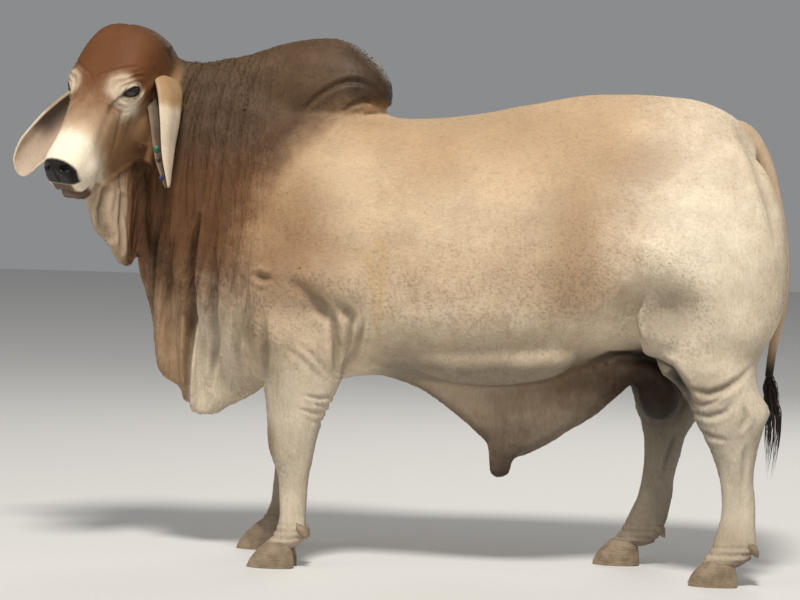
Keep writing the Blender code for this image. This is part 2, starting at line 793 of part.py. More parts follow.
def eyes(nodes):
    for side, sign in (("left", 1), ("right", -1)):
        bm = bmesh.new()
        bmesh.ops.create_uvsphere(bm, u_segments=16, v_segments=10, radius=EYE_RADIUS)
        bmesh.ops.triangulate(bm, faces=bm.faces)
        spot = head_point(EYE_SPOT.x, sign * EYE_SPOT.y, EYE_SPOT.z)
        bmesh.ops.translate(bm, verts=bm.verts, vec=spot)
        eye = add_object("eye_" + side, bm, "black")
        fit_round(nodes, "head", eye)


def horns(nodes):
    """Short blunt stubs at the corners of the poll."""
    f, l, d = head_frame()
    for side, sign in (("left", 1), ("right", -1)):
        rings = []
        for reach, radius in HORN_RINGS:
            middle = head_point(HORN_SPOT.x, sign * (HORN_SPOT.y + reach), HORN_SPOT.z + reach / 2)
            ring = []
            for i in range(8):
                angle = 2 * math.pi * i / 8
                ring.append(middle + f * radius * math.cos(angle) + d * radius * math.sin(angle))
            rings.append(ring)
        horn = loft("horn_" + side, rings)
        horn.data.materials.append(material("hoof"))
        modifier(horn, "TRIANGULATE")
        fit_round(nodes, "head", horn)
        nodes[horn.name] = horn


def hooves(nodes):
    """Two claws to a foot, each with a flat sole, and two dewclaws behind the fetlock."""
    for leg, (fx, fy) in FEET.items():
        for side, sign in (("outer", -1), ("inner", 1)):
            y = fy + sign * CLAW_SPACING
            rows = (
                (0.0, fx - 0.090, fx + 0.066, y, 0.0305),
                (0.026, fx - 0.078, fx + 0.066, y, 0.0300),
                (0.054, fx - 0.056, fx + 0.060, y - sign * 0.001, 0.0280),
                (CLAW_HEIGHT, fx - 0.028, fx + 0.048, y - sign * 0.003, 0.0215),
            )
            claw = claw_loft("hoof_%s_%s" % (leg, side), rows)
            fit_round(nodes, leg, claw)
            rings = []
            heel = swing(leg)(DEWCLAW_HEIGHT)[0] + PASTERN_BACK[leg.split("_")[0]]
            for reach, radius in DEWCLAW_RINGS:
                middle = Vector((heel + reach, fy + sign * 0.027, DEWCLAW_HEIGHT - reach * 0.8))
                ring = []
                for i in range(8):
                    angle = 2 * math.pi * i / 8
                    ring.append(middle + Vector((0, radius * math.cos(angle), radius * math.sin(angle))))
                rings.append(ring)
            dewclaw = loft("dewclaw_%s_%s" % (leg, side), rings)
            dewclaw.data.materials.append(material("hoof"))
            fit_round(nodes, leg, dewclaw)


def claw_loft(name, rows):
    """Level rings with a flat sole and a low domed top."""
    bm = bmesh.new()
    layers = []
    count = 12
    for z, front, back, y, half in rows:
        layer = []
        for i in range(count):
            c, s = oval(2 * math.pi * i / count, 2.5)
            layer.append(bm.verts.new(((front + back) / 2 + (back - front) / 2 * c, y + half * s, z)))
        layers.append(layer)
    for lower, upper in zip(layers, layers[1:]):
        for i in range(count):
            j = (i + 1) % count
            bm.faces.new((lower[i], lower[j], upper[j], upper[i]))
    bm.faces.new(layers[0])
    bm.faces.new(layers[-1])
    bmesh.ops.recalc_face_normals(bm, faces=bm.faces)
    bmesh.ops.triangulate(bm, faces=bm.faces)
    return add_object(name, bm, "hoof")


def ear_section(side, share):
    """Middle, axis across the cup, way it opens, half width and depth of the cup at a share."""
    line = between_rows(EAR_LINE[side], 8)
    place = share * (len(line) - 1)
    k = min(int(place), len(line) - 2)
    spot = Vector(line[k]).lerp(Vector(line[k + 1]), place - k)
    step = Vector(line[k + 1] - line[k]).normalized()
    mouth = EAR_MOUTH[side]
    mouth = (mouth - step * mouth.dot(step)).normalized()
    across = step.cross(mouth)
    fullness = 0.42 + 0.58 * math.sin(math.pi * min(1.0, share * 0.85 + 0.12)) ** 0.7
    if share > 0.55:
        fullness *= max(0.12, 1 - ((share - 0.55) / 0.45) ** 1.7 * 0.88)
    return spot, across, mouth, EAR_WIDTH[side] / 2 * fullness, EAR_DEPTH[side] * fullness


def ear_point(side, share, sweep, lift):
    """Point of the cup: sweep from -1 to 1 across it, lift out from its middle sheet."""
    spot, across, mouth, half, depth = ear_section(side, share)
    angle = math.pi / 2 * sweep
    reach = (half + lift) * math.sin(angle)
    return spot + across * reach + mouth * (depth * 0.5 - (depth + lift) * math.cos(angle))


def ear_form(side):
    """A long hanging cup: an arc of a section, thin, swept from the root to the tip."""
    sweeps = [2 * i / (EAR_ARC_POINTS - 1) - 1 for i in range(EAR_ARC_POINTS)]
    rings = []
    for k in range(EAR_STATIONS):
        share = k / (EAR_STATIONS - 1)
        half = EAR_THICKNESS * (1.0 - 0.5 * share)
        outer = [ear_point(side, share, sweep, half) for sweep in sweeps]
        inner = [ear_point(side, share, sweep, -half) for sweep in reversed(sweeps)]
        rings.append(outer + inner)
    ear = loft("ear_" + side, rings, bulge=0.1)
    ear.data.materials.append(material("cream"))
    modifier(ear, "TRIANGULATE")
    return ear


def fit_guest(guest, hosts):
    """Cut the guest away where it enters its hosts, with a thin gap."""
    for host in hosts:
        tool = copy_of(host, "tool")
        inflate(tool, GAP)
        boolean(guest, tool, "DIFFERENCE")
        remove(tool)
    keep_largest(guest)


def ears(nodes):
    for side in EAR_LINE:
        ear = ear_form(side)
        fit_guest(ear, (nodes["head"], nodes["neck"], nodes["horn_" + side]))
        nodes[ear.name] = ear


def tags(nodes):
    """Round buttons on the hollow side of the left ear."""
    for name, (share, sweep, radius) in TAGS.items():
        spot = ear_point("left", share, sweep, 0.0)
        inward = (ear_point("left", share, sweep, -0.01) - spot).normalized()
        turn = inward.to_track_quat("Z", "Y").to_matrix().to_4x4()
        bm = bmesh.new()
        bmesh.ops.create_cone(
            bm, cap_ends=True, segments=14, radius1=radius, radius2=radius * 0.9,
            depth=TAG_THICKNESS * 2.4,
        )
        seat = spot + inward * (EAR_THICKNESS * 0.7 + TAG_THICKNESS * 0.4)
        bmesh.ops.transform(bm, verts=bm.verts, matrix=Matrix.Translation(seat) @ turn)
        bmesh.ops.triangulate(bm, faces=bm.faces)
        fit_guest(add_object(name, bm, name), (nodes["ear_left"],))


def tail(nodes):
    rings = []
    rows = between_rows(TAIL, 3)
    ahead = np.gradient(rows[:, :2], axis=0)
    for (x, z, radius), (ax, az) in zip(rows, ahead):
        out = Vector((-az, 0.0, ax)).normalized()
        ring = []
        for i in range(10):
            angle = 2 * math.pi * i / 10
            ring.append(Vector((x, 0, z)) + out * radius * math.cos(angle)
                        + Vector((0, radius * math.sin(angle), 0)))
        rings.append(ring)
    made = loft("tail", rings, bulge=0.2)
    made.data.materials.append(material("fawn"))
    modifier(made, "TRIANGULATE")
    fit_guest(made, [nodes[n] for n in ("torso", "hindleg_left", "hindleg_right")])
    return made


def switch_spot(share):
    line = between_rows(SWITCH_LINE, 6)
    place = share * (len(line) - 1)
    k = min(int(place), len(line) - 2)
    x, z = line[k] + (line[k + 1] - line[k]) * (place - k)
    return Vector((x, 0.0, z))


def lock_form(index, rng):
    """A flat tapered lock that leaves the core, bows out and ends in a thin tip."""
    around = 2 * math.pi * (index * 0.618 % 1.0)
    start = 0.06 + 0.34 * (index / SWITCH_LOCKS)
    end = min(1.0, start + 0.42 + 0.25 * rng.random())
    out = Vector((math.cos(around), math.sin(around) * 0.8, 0.0))
    flat = Vector((-out.y, out.x, 0.0)).normalized()
    bow = 0.014 + 0.012 * rng.random()
    stations = 5
    rings = []
    for k in range(stations):
        t = k / (stations - 1)
        reach = 0.007 + bow * math.sin(math.pi * min(1.0, t * 1.15)) + 0.004 * t
        middle = switch_spot(start + (end - start) * t) + out * reach
        wide = LOCK_WIDTH / 2 * (0.55 + 0.9 * t) * (1 - t) ** 0.6 + 0.0012
        thick = LOCK_THICKNESS / 2 * (1 - 0.75 * t)
        rings.append([middle + flat * wide, middle + out * thick,
                      middle - flat * wide, middle - out * thick])
    return loft("lock", rings, bulge=0.15)


def switch_form():
    """The tassel: a slim core under locks that overlap and fall to its tip."""
    rings = []
    for k in range(7):
        z_share = k / 6 * SWITCH_CORE_END
        middle = switch_spot(z_share)
        radius = 0.0145 * (1 - 0.45 * k / 6)
        rings.append([
            middle + Vector((radius * math.cos(a), radius * math.sin(a), 0.0))
            for a in (2 * math.pi * i / 8 for i in range(8))
        ])
    core = loft("tail_switch", rings, bulge=0.3)
    core.data.materials.append(material("black"))
    rng = np.random.default_rng(7)
    group = bpy.data.collections.new("locks")
    bpy.context.scene.collection.children.link(group)
    for index in range(SWITCH_LOCKS):
        lock = lock_form(index, rng)
        bpy.context.scene.collection.objects.unlink(lock)
        group.objects.link(lock)
    modifier(core, "BOOLEAN", operand_type="COLLECTION", collection=group,
             operation="UNION", solver="EXACT")
    for lock in list(group.objects):
        remove(lock)
    bpy.data.collections.remove(group)
    keep_largest(core)
    return core


def stand_on_origin():
    """Put the middle of the whole model's footprint box at the origin."""
    things = [o for o in bpy.data.objects if o.type == "MESH"]
    cloud = np.concatenate([points_of(o.data) for o in things])
    low, high = cloud.min(axis=0), cloud.max(axis=0)
    shift = Vector((-(low[0] + high[0]) / 2, -(low[1] + high[1]) / 2, -low[2]))
    for thing in things:
        thing.data.transform(Matrix.Translation(shift))
    return shift


def main():
    clear_scene()
    skin = flesh()
    sculpt_head(skin)
    sculpt_body(skin)
    slim(skin)
    nodes = body_nodes(skin)
    eyes(nodes)
    horns(nodes)
    hooves(nodes)
    ears(nodes)
    tags(nodes)
    made = tail(nodes)
    fit_guest(switch_form(), (made,))
    stand_on_origin()


main()
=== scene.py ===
"""Looks of a standing Brahman bull, life size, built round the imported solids.

Metres; the numbers in tables and paths are thousandths. The forms are given in a frame of their own and
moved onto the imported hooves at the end.
"""
import json
import math

import bmesh
import bpy
import numpy as np
from mathutils import Matrix, Vector
from mathutils.bvhtree import BVHTree

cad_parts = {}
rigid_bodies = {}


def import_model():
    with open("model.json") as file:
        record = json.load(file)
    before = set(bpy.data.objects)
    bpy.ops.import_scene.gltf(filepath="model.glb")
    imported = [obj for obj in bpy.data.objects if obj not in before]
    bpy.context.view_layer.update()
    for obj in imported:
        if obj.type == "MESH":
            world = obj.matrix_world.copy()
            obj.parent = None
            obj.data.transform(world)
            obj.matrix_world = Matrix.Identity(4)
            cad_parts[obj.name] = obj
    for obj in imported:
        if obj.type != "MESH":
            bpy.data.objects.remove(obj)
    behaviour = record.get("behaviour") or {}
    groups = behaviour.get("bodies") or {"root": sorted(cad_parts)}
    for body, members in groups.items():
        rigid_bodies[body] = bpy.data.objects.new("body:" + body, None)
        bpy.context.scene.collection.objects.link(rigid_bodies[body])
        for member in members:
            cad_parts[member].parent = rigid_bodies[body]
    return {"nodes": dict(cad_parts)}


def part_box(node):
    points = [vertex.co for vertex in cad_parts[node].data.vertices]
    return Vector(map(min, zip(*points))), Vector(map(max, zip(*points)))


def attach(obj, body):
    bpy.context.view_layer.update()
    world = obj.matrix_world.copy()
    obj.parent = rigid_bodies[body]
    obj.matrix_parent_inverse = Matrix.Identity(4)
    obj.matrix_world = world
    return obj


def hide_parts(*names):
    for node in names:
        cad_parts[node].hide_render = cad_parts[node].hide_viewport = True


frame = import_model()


def numbers(text):
    """Rows of numbers in thousandths, so lengths in millimetres; a row that starts with # is a remark."""
    rows = (row.split() for row in text.strip().splitlines())
    return [[float(word + "e-3") for word in row] for row in rows if row[0] != "#"]


def table(text):
    return np.array(numbers(text))


def paths(text, size):
    """Paths with their width and depth, of points in space or in the side view, where y is 0."""
    found = []
    for width, depth, *places in numbers(text):
        path = np.array(places).reshape(-1, size)
        found.append((np.insert(path, 1, 0, axis=1) if size == 2 else path, width, depth))
    return found


# Fineness of the hide: voxel, swelling round the head, and how deep it lies under the coat
VOXEL = 0.0122
HEAD_ZOOM = 2.2
HEAD_ZOOM_RADIUS = 0.45
COAT_DEPTH = 0.003

# Camera: place, pitch below level and roll in degrees, turn from +Y, focal length for a 36 mm frame
CAMERA_DISTANCE = 7.5
CAMERA_HEIGHT = 1.165
CAMERA_TURN = 6.0
CAMERA_PITCH = 2.268
CAMERA_ROLL = 1.5
CAMERA_LENS = 102.27

# Head: place of the poll, turn from -X towards -Y, pitch below level, tilt, and the eyes
POLL = Vector((-0.872, -0.1, 1.72))
HEAD_TURN = math.radians(60)
HEAD_PITCH = math.radians(46.5)
HEAD_TILT = math.radians(-8)
EYE_SPOT = Vector((0.25, 0.108, -0.01))
EYE_RADIUS = 0.028

# Lids: steps outward, points round, and how far they reach from the middle of the eye
LID_STEPS = 22
LID_AROUND = 72
LID_REACH = 0.037

# Feet: places on the floor of each hoof pair's middle
FEET = {
    "foreleg_left": (-0.365, -0.2),
    "foreleg_right": (-0.468, 0.19),
    "hindleg_left": (1.055, -0.205),
    "hindleg_right": (0.745, 0.165),
}
CLAW_SPACING = 0.033
CLAW_HEIGHT = 0.082
TOE_REACH = 0.09
DEWCLAW_HEIGHT = 0.112
PASTERN_BACK = {"foreleg": -0.262, "hindleg": 1.18}

# Rings of a dewclaw: how far back, radius
DEWCLAW = ((-0.03, 0.017), (-0.014, 0.019), (-0.002, 0.0175), (0.005, 0.012))

# Sections of the trunk: x, top, bottom, half width, height of the widest place
TRUNK = table("""
    -660 1360 740 110 1000
    -580 1460 630 195 1020
    -460 1500 575 270 1030
    -300 1500 580 322 1020
    -120 1477 610 348 1010
    80 1470 620 370 1000
    280 1495 604 384 990
    460 1535 622 365 1010
    620 1560 675 325 1070
    800 1563 725 300 1150
    960 1545 800 285 1180
    1080 1490 920 240 1180
    1150 1410 1020 165 1190
""")

# Sections of the hump: the same columns
HUMP = table("""
    -620 1650 1450 60 1550
    -540 1665 1420 90 1550
    -460 1695 1400 115 1550
    -350 1724 1380 135 1540
    -240 1730 1380 142 1550
    -150 1698 1420 135 1560
    -80 1640 1480 105 1560
    -45 1585 1505 60 1545
""")

# Sections of the neck: top x and z, bottom x and z, y at top and bottom, half width, turn in degrees
NECK = table("""
    -200 1470 -360 640 0 0 280 0
    -380 1590 -560 680 0 0 250 0
    -520 1640 -680 780 0 0 205 0
    -620 1640 -780 900 -10 -10 172 5000
    -700 1640 -850 1030 -20 -30 155 12000
    -770 1650 -880 1160 -35 -50 142 22000
    -820 1650 -900 1280 -55 -70 128 32000
""")

# Sections of the dewlap: height, front, back, y, half thickness
DEWLAP = table("""
    1220 -862 -620 -50 85
    1100 -872 -580 -35 85
    1000 -882 -550 -20 80
    900 -872 -500 -10 75
    800 -850 -460 0 70
    700 -838 -430 0 62
    620 -805 -420 0 54
    560 -758 -450 0 45
    500 -705 -550 0 34
    465 -680 -620 0 24
""")

# Sections of the throat skin from chin to neck: x, y, top, bottom, half thickness
THROAT = table("""
    -992 -300 1215 1165 16
    -965 -262 1265 1070 22
    -928 -198 1320 995 27
    -888 -130 1370 957 32
    -850 -65 1390 985 34
""")

# Sections of the near foreleg: height, front, back, y, half width
FORELEG = table("""
    1160 -480 -250 -190 85
    1050 -535 -170 -200 115
    920 -530 -130 -203 127
    800 -500 -120 -200 120
    700 -460 -130 -200 105
    620 -430 -155 -195 90
    550 -418 -185 -195 78
    480 -406 -215 -195 68
    420 -403 -232 -195 67
    360 -388 -248 -195 62
    300 -365 -260 -195 48
    220 -360 -262 -195 43
    160 -362 -262 -195 47
    110 -378 -262 -196 57
    75 -400 -280 -198 56
    58 -408 -292 -200 50
""")

# Sections of the near hindleg: height, front, back, y, half width
HINDLEG = table("""
    1400 840 1120 -120 100
    1300 760 1190 -145 145
    1180 710 1232 -165 175
    1050 700 1252 -175 190
    920 735 1250 -180 185
    820 770 1225 -185 165
    740 800 1180 -190 140
    680 845 1165 -200 118
    620 910 1178 -205 96
    560 950 1210 -205 80
    500 985 1190 -205 68
    430 1020 1174 -205 56
    340 1050 1170 -205 47
    260 1060 1176 -205 45
    190 1055 1180 -205 47
    130 1040 1182 -205 57
    85 1015 1160 -205 58
    60 1005 1130 -205 52
""")

# How far a leg's foot reaches past the near leg's: along X, in Y, height where it starts, curve
SWING = {
    "foreleg_left": (0.0, 0.0, 1.0, 1.0),
    "foreleg_right": (-0.105, -0.01, 0.95, 1.0),
    "hindleg_left": (0.0, 0.0, 1.0, 1.0),
    "hindleg_right": (-0.315, -0.04, 1.02, 0.72),
}

# Sections of the sheath's sheet: x, top, bottom, half thickness
SHEATH = table("""
    -60 660 615 30
    60 680 575 35
    180 680 505 40
    260 680 440 45
    320 680 390 48
    400 680 360 50
    470 680 385 50
    560 680 440 50
    660 700 510 48
    760 730 610 42
    840 750 680 34
""")

# Sections of the sheath's tip and of the scrotum: height, front, back, y, half width
SHEATH_TIP = table("""
    460 280 440 0 46
    390 303 405 0 44
    340 308 388 0 37
    295 314 376 0 28
""")
SCROTUM = table("""
    780 800 920 0 40
    680 795 925 0 52
    600 785 932 0 70
    540 795 928 0 73
    505 820 905 0 55
""")

# Sections of the head in its own frame: along the face, forehead side, jaw side, half width,
# depth of the widest place, squareness of the forehead side
HEAD = table("""
    -35 -40 -215 85 -90 2300
    0 42 -250 112 -60 2400
    45 86 -280 128 -30 2500
    110 97 -290 136 -10 2400
    185 84 -280 138 -5 2400
    250 62 -262 129 -15 2500
    320 33 -240 104 -40 2400
    400 14 -222 86 -60 2300
    475 3 -206 77 -75 2200
    535 -4 -198 79 -85 2200
    575 -16 -184 72 -90 2200
    596 -38 -155 50 -90 2200
""")

# Muscles and bones that show through: centre, radii; each on both sides of the body
MUSCLES = table("""
    -515 185 965 80 70 100
    -205 262 930 130 82 120
    -340 245 790 120 85 120
    900 270 870 130 85 150
    1050 245 1050 160 110 170
    300 160 725 300 128 120
""")

# Bumps on the head in its own frame, both sides: centre, radii
HEAD_MUSCLES = table("""
    205 95 -165 110 34 85
    210 98 24 60 34 28
    180 122 -45 75 20 28
    520 46 -105 60 40 58
    540 20 -182 52 40 26
""")

# Ears: middle line of each hanging cup from root to tip, the way its hollow faces, and its size
EAR_LINE = {
    "left": table("""
        -800 -110 1560
        -755 -190 1530
        -740 -236 1440
        -740 -250 1330
        -733 -252 1218
    """),
    "right": table("""
        -975 -45 1545
        -1078 -60 1478
        -1172 -58 1390
        -1240 -55 1315
        -1277 -52 1248
    """),
}
EAR_MOUTH = {"left": Vector((-0.92, -0.34, -0.05)), "right": Vector((-0.35, -0.9, -0.15))}
EAR_WIDTH = {"left": 0.07, "right": 0.122}
EAR_DEPTH = {"left": 0.088, "right": 0.046}
EAR_THICKNESS = 0.006
EAR_STATIONS = 56
EAR_SWEEPS = 30

# Size of the cup from root to tip, and how much further its far wall reaches
EAR_TAPER = {
    "left": table("""
        0 700
        120 1000
        300 940
        550 700
        800 400
        1000 70
    """),
    "right": table("""
        0 550
        200 900
        450 1000
        700 920
        880 680
        970 360
        1000 160
    """),
}
EAR_FAR_WALL = {"left": 0.03, "right": 0.0}

# Tags on the left ear: place along and across it, radius, colour; their lift, and a tag's rings: lift, size
TAGS = (
    ("tag_green", 0.725, 0.9, 0.012, (0.012, 0.13, 0.05)),
    ("tag_dark", 0.8, 0.88, 0.008, (0.012, 0.012, 0.014)),
    ("tag_blue", 0.93, 0.98, 0.0085, (0.008, 0.016, 0.09)),
)
TAG_LIFT = -0.004
BUTTON = ((-0.004, 0.9), (0.002, 0.94), (0.0032, 0.8), (0.0034, 0.35), (0.0052, 0.3))

# Tail: centre line x and z with radius; then the tassel's middle line and its strands
TAIL = table("""
    1025 1458 36
    1108 1440 34
    1165 1370 27
    1204 1265 23
    1236 1120 20
    1250 980 18
    1243 860 16
    1222 750 14
    1212 655 13
""")
SWITCH_LINE = ((1.212, 0.668), (1.222, 0.58), (1.232, 0.48), (1.222, 0.32))
SWITCH_STRANDS = 150
STRAND_SIDES = 4

# Folds of the hide seen from the side: width, depth, path (x, z); the far legs share the near ones'
FOLDS = paths("""
    # crease under the back of the hump and the folds that run forward from it
    8.5 9.5 -68 1531 -88 1554 -113 1569 -140 1577 -171 1577 -205 1567 -238 1549 -268 1529 -298 1503 -332 1465
    8 8.5 -45 1484 -64 1500 -81 1509 -102 1515 -123 1514 -160 1500 -200 1476
    7.5 4 -60 1478 -100 1480 -140 1460 -170 1430
    9 3 -120 1500 -190 1420 -235 1340
    # under the muscles of the shoulder
    20 12 -330 935 -270 905 -225 868 -195 825 -178 790
    14 11 -180 885 -150 858 -122 825 -112 790
    # armpit
    10 18 -181 830 -170 729 -169 620
    9 14 -119 825 -131 729 -157 640
    10 16 -81 807 -113 713 -153 632
    # point of the shoulder, and in front of the foreleg
    13 16 -440 948 -420 940 -405 936 -380 938
    10 5 -440 905 -415 900 -385 908
    10 6 -470 960 -480 910 -500 860
    16 14 -412 840 -402 720 -414 600
    14 10 -500 800 -520 700 -510 600
    # gaps between the folds of the dewlap
    11 34 -640 1130 -662 1000 -684 791 -697 640 -702 480
    12 20 -590 1020 -592 860 -600 707 -620 560
    10 10 -760 980 -770 820 -762 660
    # behind the knee
    6 5.5 -275 566 -225 553 -175 560
    5.5 5 -245 536 -210 530 -180 538
    6 5 -285 520 -240 506 -190 512
    5.5 4 -245 478 -215 473 -200 478
    10 4.5 -330 720 -270 672 -215 612
    9 4 -290 735 -240 690 -190 630
    # flank fold down to the stifle
    17 18 640 690 700 711 838 700 882 680 902 653 941 603 965 545
    # round the hock
    11 5.8 937 629 1011 610 1060 628 1109 662 1150 705
    6.5 2.2 955 585 990 572 1030 590 1060 612
    9 3.6 960 545 1014 538 1063 556 1087 589
    8.5 2.8 985 492 1018 475 1076 468
    10 6 1120 580 1128 540 1118 500
    9 6 1132 449 1128 391 1124 300
    # groove beside the tail
    14 8 1075 1470 1136 1352 1180 1227 1205 1100
""", 2)

# Folds of the throat skin: width, depth, path
THROAT_FOLDS = paths("""
    13 12 -930 -250 1195 -942 -268 1140 -938 -262 1090 -925 -240 1050
    10 8 -890 -190 1180 -900 -200 1100 -895 -190 1010
""", 3)

# Hollows seen from the side: middle (x, z), radii, depth; a bulge has a depth below zero
HOLLOWS = table("""
    865 875 105 75 60
    820 1060 130 80 -14
    -250 960 100 60 -22
    -125 910 45 60 -18
    -150 740 40 70 -14
    -225 845 45 26 16
    -130 845 26 24 14
    620 1280 120 100 10
    -480 870 60 70 10
""")

# Fineness of the coat: tufts on the whole body, and their size on body and face
TUFTS = 140000
TUFT_LENGTH = 0.0115
TUFT_WIDTH = 0.0017
PIECE_TRIANGLES = 190000

# Colours of hide and hair
COLOURS = {
    "fawn": (0.54, 0.375, 0.23),
    "sand": (0.66, 0.51, 0.345),
    "cream": (0.8, 0.7, 0.545),
    "tan": (0.31, 0.165, 0.075),
    "red": (0.165, 0.06, 0.02),
    "umber": (0.086, 0.043, 0.019),
    "black": (0.012, 0.01, 0.009),
    "pink": (0.5, 0.36, 0.27),
    "stain": (0.55, 0.36, 0.12),
    "bare": (0.07, 0.03, 0.017),
    "eye": (0.012, 0.006, 0.003),
    "horn": (0.07, 0.052, 0.034),
    "hoof": (0.225, 0.158, 0.094),
    "hoof_dark": (0.125, 0.083, 0.05),
    "floor": (0.7, 0.69, 0.67),
}
MASKS = ("sand", "cream", "tan", "red", "umber", "stain", "pink", "bare", "black")

# Path of painted shadow beside the dewlap, and places of painted shade: share, centre, radii
BESIDE_DEWLAP = table("""
    -845 0 1250
    -815 0 1100
    -800 0 950
    -835 0 820
""")
SHADED_SIDE = table("""
    440 872 0 862 125 100 90
    380 -452 0 800 26 200 75
    200 -390 0 560 80 300 240
    120 -255 0 850 70 100 50
    80 -340 0 1000 170 400 200
""")
SHADED = table("""
    300 620 0 620 300 140 120
    350 860 0 600 120 120 160
""")

# Lower edge of the hump's dark hair (x, z), and the water stains: width, no depth, path (x, z)
BELOW_HUMP = table("""
    -400 1260
    -300 1390
    -200 1475
    -100 1515
    -20 1495
""")
STAINS = paths("""
    11 0 -70 1020 -50 900 -35 760
    11 0 -30 1060 -22 920 -20 820
""", 2)

# Patches of colour by the space that they are given in: share, centre, radii
PATCHES = {
    "sand": {
        "folded": table("""
            750 250 350 1120 320 400 160
            600 -160 300 1200 140 400 200
        """),
    },
    "cream": {
        "folded": table("""
            650 980 300 1080 220 400 260
        """),
    },
    "tan": {
        "folded": table("""
            720 -340 300 1060 170 400 270
            300 130 350 1330 100 300 100
            220 400 300 1420 300 300 90
            320 580 350 1120 70 300 130
            450 600 350 920 120 300 90
            320 780 300 1340 140 300 70
            350 -100 300 1420 160 300 100
            500 300 0 500 360 100 140
        """),
        # its third row, tan in the hollow before the thigh, is painted shadow
        "flat": table("""
            550 -390 0 410 30 100 60
            250 1070 0 160 80 100 50
            180 865 0 880 120 100 90
            250 1000 0 620 60 200 40
        """),
        # tan under the belly: painted shade
        "points": table("""
            600 660 0 620 300 150 140
        """),
    },
    "red": {
        "folded": table("""
            340 360 0 340 120 100 120
        """),
        # red-brown under the belly: painted shade
        "points": table("""
            220 640 0 620 280 140 130
        """),
    },
    "umber": {
        "folded": table("""
            350 380 0 420 120 100 140
            350 700 0 620 140 160 100
        """),
    },
    "bare": {
        "points": table("""
            1000 860 0 570 150 150 210
            800 345 0 310 90 100 80
        """),
    },
    "black": {
        "points": table("""
            500 860 0 540 150 150 200
        """),
    },
}


def link(name, data):
    thing = bpy.data.objects.new(name, data)
    bpy.context.scene.collection.objects.link(thing)
    return thing


def add_object(name, bm):
    mesh = bpy.data.meshes.new(name)
    bm.normal_update()
    bm.to_mesh(mesh)
    bm.free()
    return link(name, mesh)


def between_rows(rows, steps):
    """Rows of a table with smooth in-between rows, by cubic curves through the given ones."""
    rows = np.array(rows, float)
    slope = np.gradient(rows, axis=0)
    out = []
    for i in range(len(rows) - 1):
        for t in (k / steps for k in range(steps)):
            out.append(
                (2 * t**3 - 3 * t**2 + 1) * rows[i]
                + (t**3 - 2 * t**2 + t) * slope[i]
                + (3 * t**2 - 2 * t**3) * rows[i + 1]
                + (t**3 - t**2) * slope[i + 1]
            )
    return np.array([*out, rows[-1]])


def oval(angle, power):
    """Point on a unit superellipse."""
    c, s = math.cos(angle), math.sin(angle)
    return math.copysign(abs(c) ** (2 / power), c), math.copysign(abs(s) ** (2 / power), s)


def walls(bm, layers):
    """Faces between rings of vertices."""
    count = len(layers[0])
    return [
        bm.faces.new((lower[i], lower[(i + 1) % count], upper[(i + 1) % count], upper[i]))
        for lower, upper in zip(layers, layers[1:])
        for i in range(count)
    ]


def loft(bm, rings, bulge=0.4):
    """Closed skin over rings of points, with a low dome at each end."""
    layers = [[bm.verts.new(p) for p in ring] for ring in rings]
    made = walls(bm, layers)
    count = len(layers[0])
    for layer, inner in ((layers[0], rings[1]), (layers[-1], rings[-2])):
        middle = sum((v.co for v in layer), Vector()) / count
        inner_middle = sum((Vector(p) for p in inner), Vector()) / count
        tip = bm.verts.new(middle + (middle - inner_middle) * bulge)
        made += [bm.faces.new((layer[i], layer[(i + 1) % count], tip)) for i in range(count)]
    bmesh.ops.recalc_face_normals(bm, faces=made)


def lofted(name, rings, bulge=0.4):
    bm = bmesh.new()
    loft(bm, rings, bulge)
    return add_object(name, bm)


def rings_of(rows, count, power, spot):
    """A ring of points for each row: spot gets a place on a unit oval and the row's numbers."""
    edge = [oval(2 * math.pi * i / count, power) for i in range(count)]
    return [[Vector(spot(c, s, *row)) for c, s in edge] for row in rows]


def upright(c, s, x, top, bottom, half, waist):
    """Section square to X: x, top, bottom, half width, height of the widest place."""
    return x, half * c, waist + (top - waist if s > 0 else waist - bottom) * s


def level_rings(rows, leg=None, power=2.2):
    """Level sections: height, front, back, y, half width; moved with the leg that they belong to."""
    def spot(c, s, z, front, back, y, half):
        dx, dy = swing(leg, z) if leg else (0.0, 0.0)
        return (front + back) / 2 + (back - front) / 2 * c + dx, y + half * s + dy, z

    return rings_of(between_rows(rows, 4), 32, power, spot)


def neck_spot(c, s, tx, tz, bx, bz, ty, by, half, turn):
    top, bottom = Vector((tx, ty, tz)), Vector((bx, by, bz))
    middle, upward = (top + bottom) / 2, (top - bottom) / 2
    side = Vector((math.sin(math.radians(turn)), -math.cos(math.radians(turn)), 0.0))
    return middle + side * (half * c * (1 - 0.22 * s)) + upward * s


def throat_spot(c, s, x, y, top, bottom, half, hx, hy):
    across = Vector((-hy, hx, 0.0)).normalized()
    return Vector((x, y, (top + bottom) / 2)) + across * (half * c) + Vector((0, 0, (top - bottom) / 2 * s))


def sheath_spot(c, s, x, top, bottom, half):
    return x, half * c, (top + bottom) / 2 + (top - bottom) / 2 * s


def ball(bm, centre, axes):
    """Ellipsoid with the given half axes as vectors."""
    turn = Matrix(axes).transposed().to_4x4()
    bmesh.ops.create_icosphere(bm, subdivisions=4, radius=1.0, matrix=Matrix.Translation(centre) @ turn)


def swing(leg, z):
    """How far a leg has swung in X and Y at a height."""
    reach_x, reach_y, start, curve = SWING[leg]
    share = max(0.0, 1 - z / start) ** curve
    return reach_x * share, reach_y * share


def heel(leg):
    return swing(leg, DEWCLAW_HEIGHT)[0] + PASTERN_BACK[leg.split("_")[0]]


def head_frame():
    """Head axes in the world: along the face, to its left, out of the forehead."""
    level = Vector((-math.cos(HEAD_TURN), -math.sin(HEAD_TURN), 0.0))
    along = level * math.cos(HEAD_PITCH) - Vector((0, 0, math.sin(HEAD_PITCH)))
    left = Vector((math.sin(HEAD_TURN), -math.cos(HEAD_TURN), 0.0))
    out = along.cross(left)
    if out.z < 0:
        out = -out
    tilt = Matrix.Rotation(HEAD_TILT, 3, along)
    return along, tilt @ left, tilt @ out


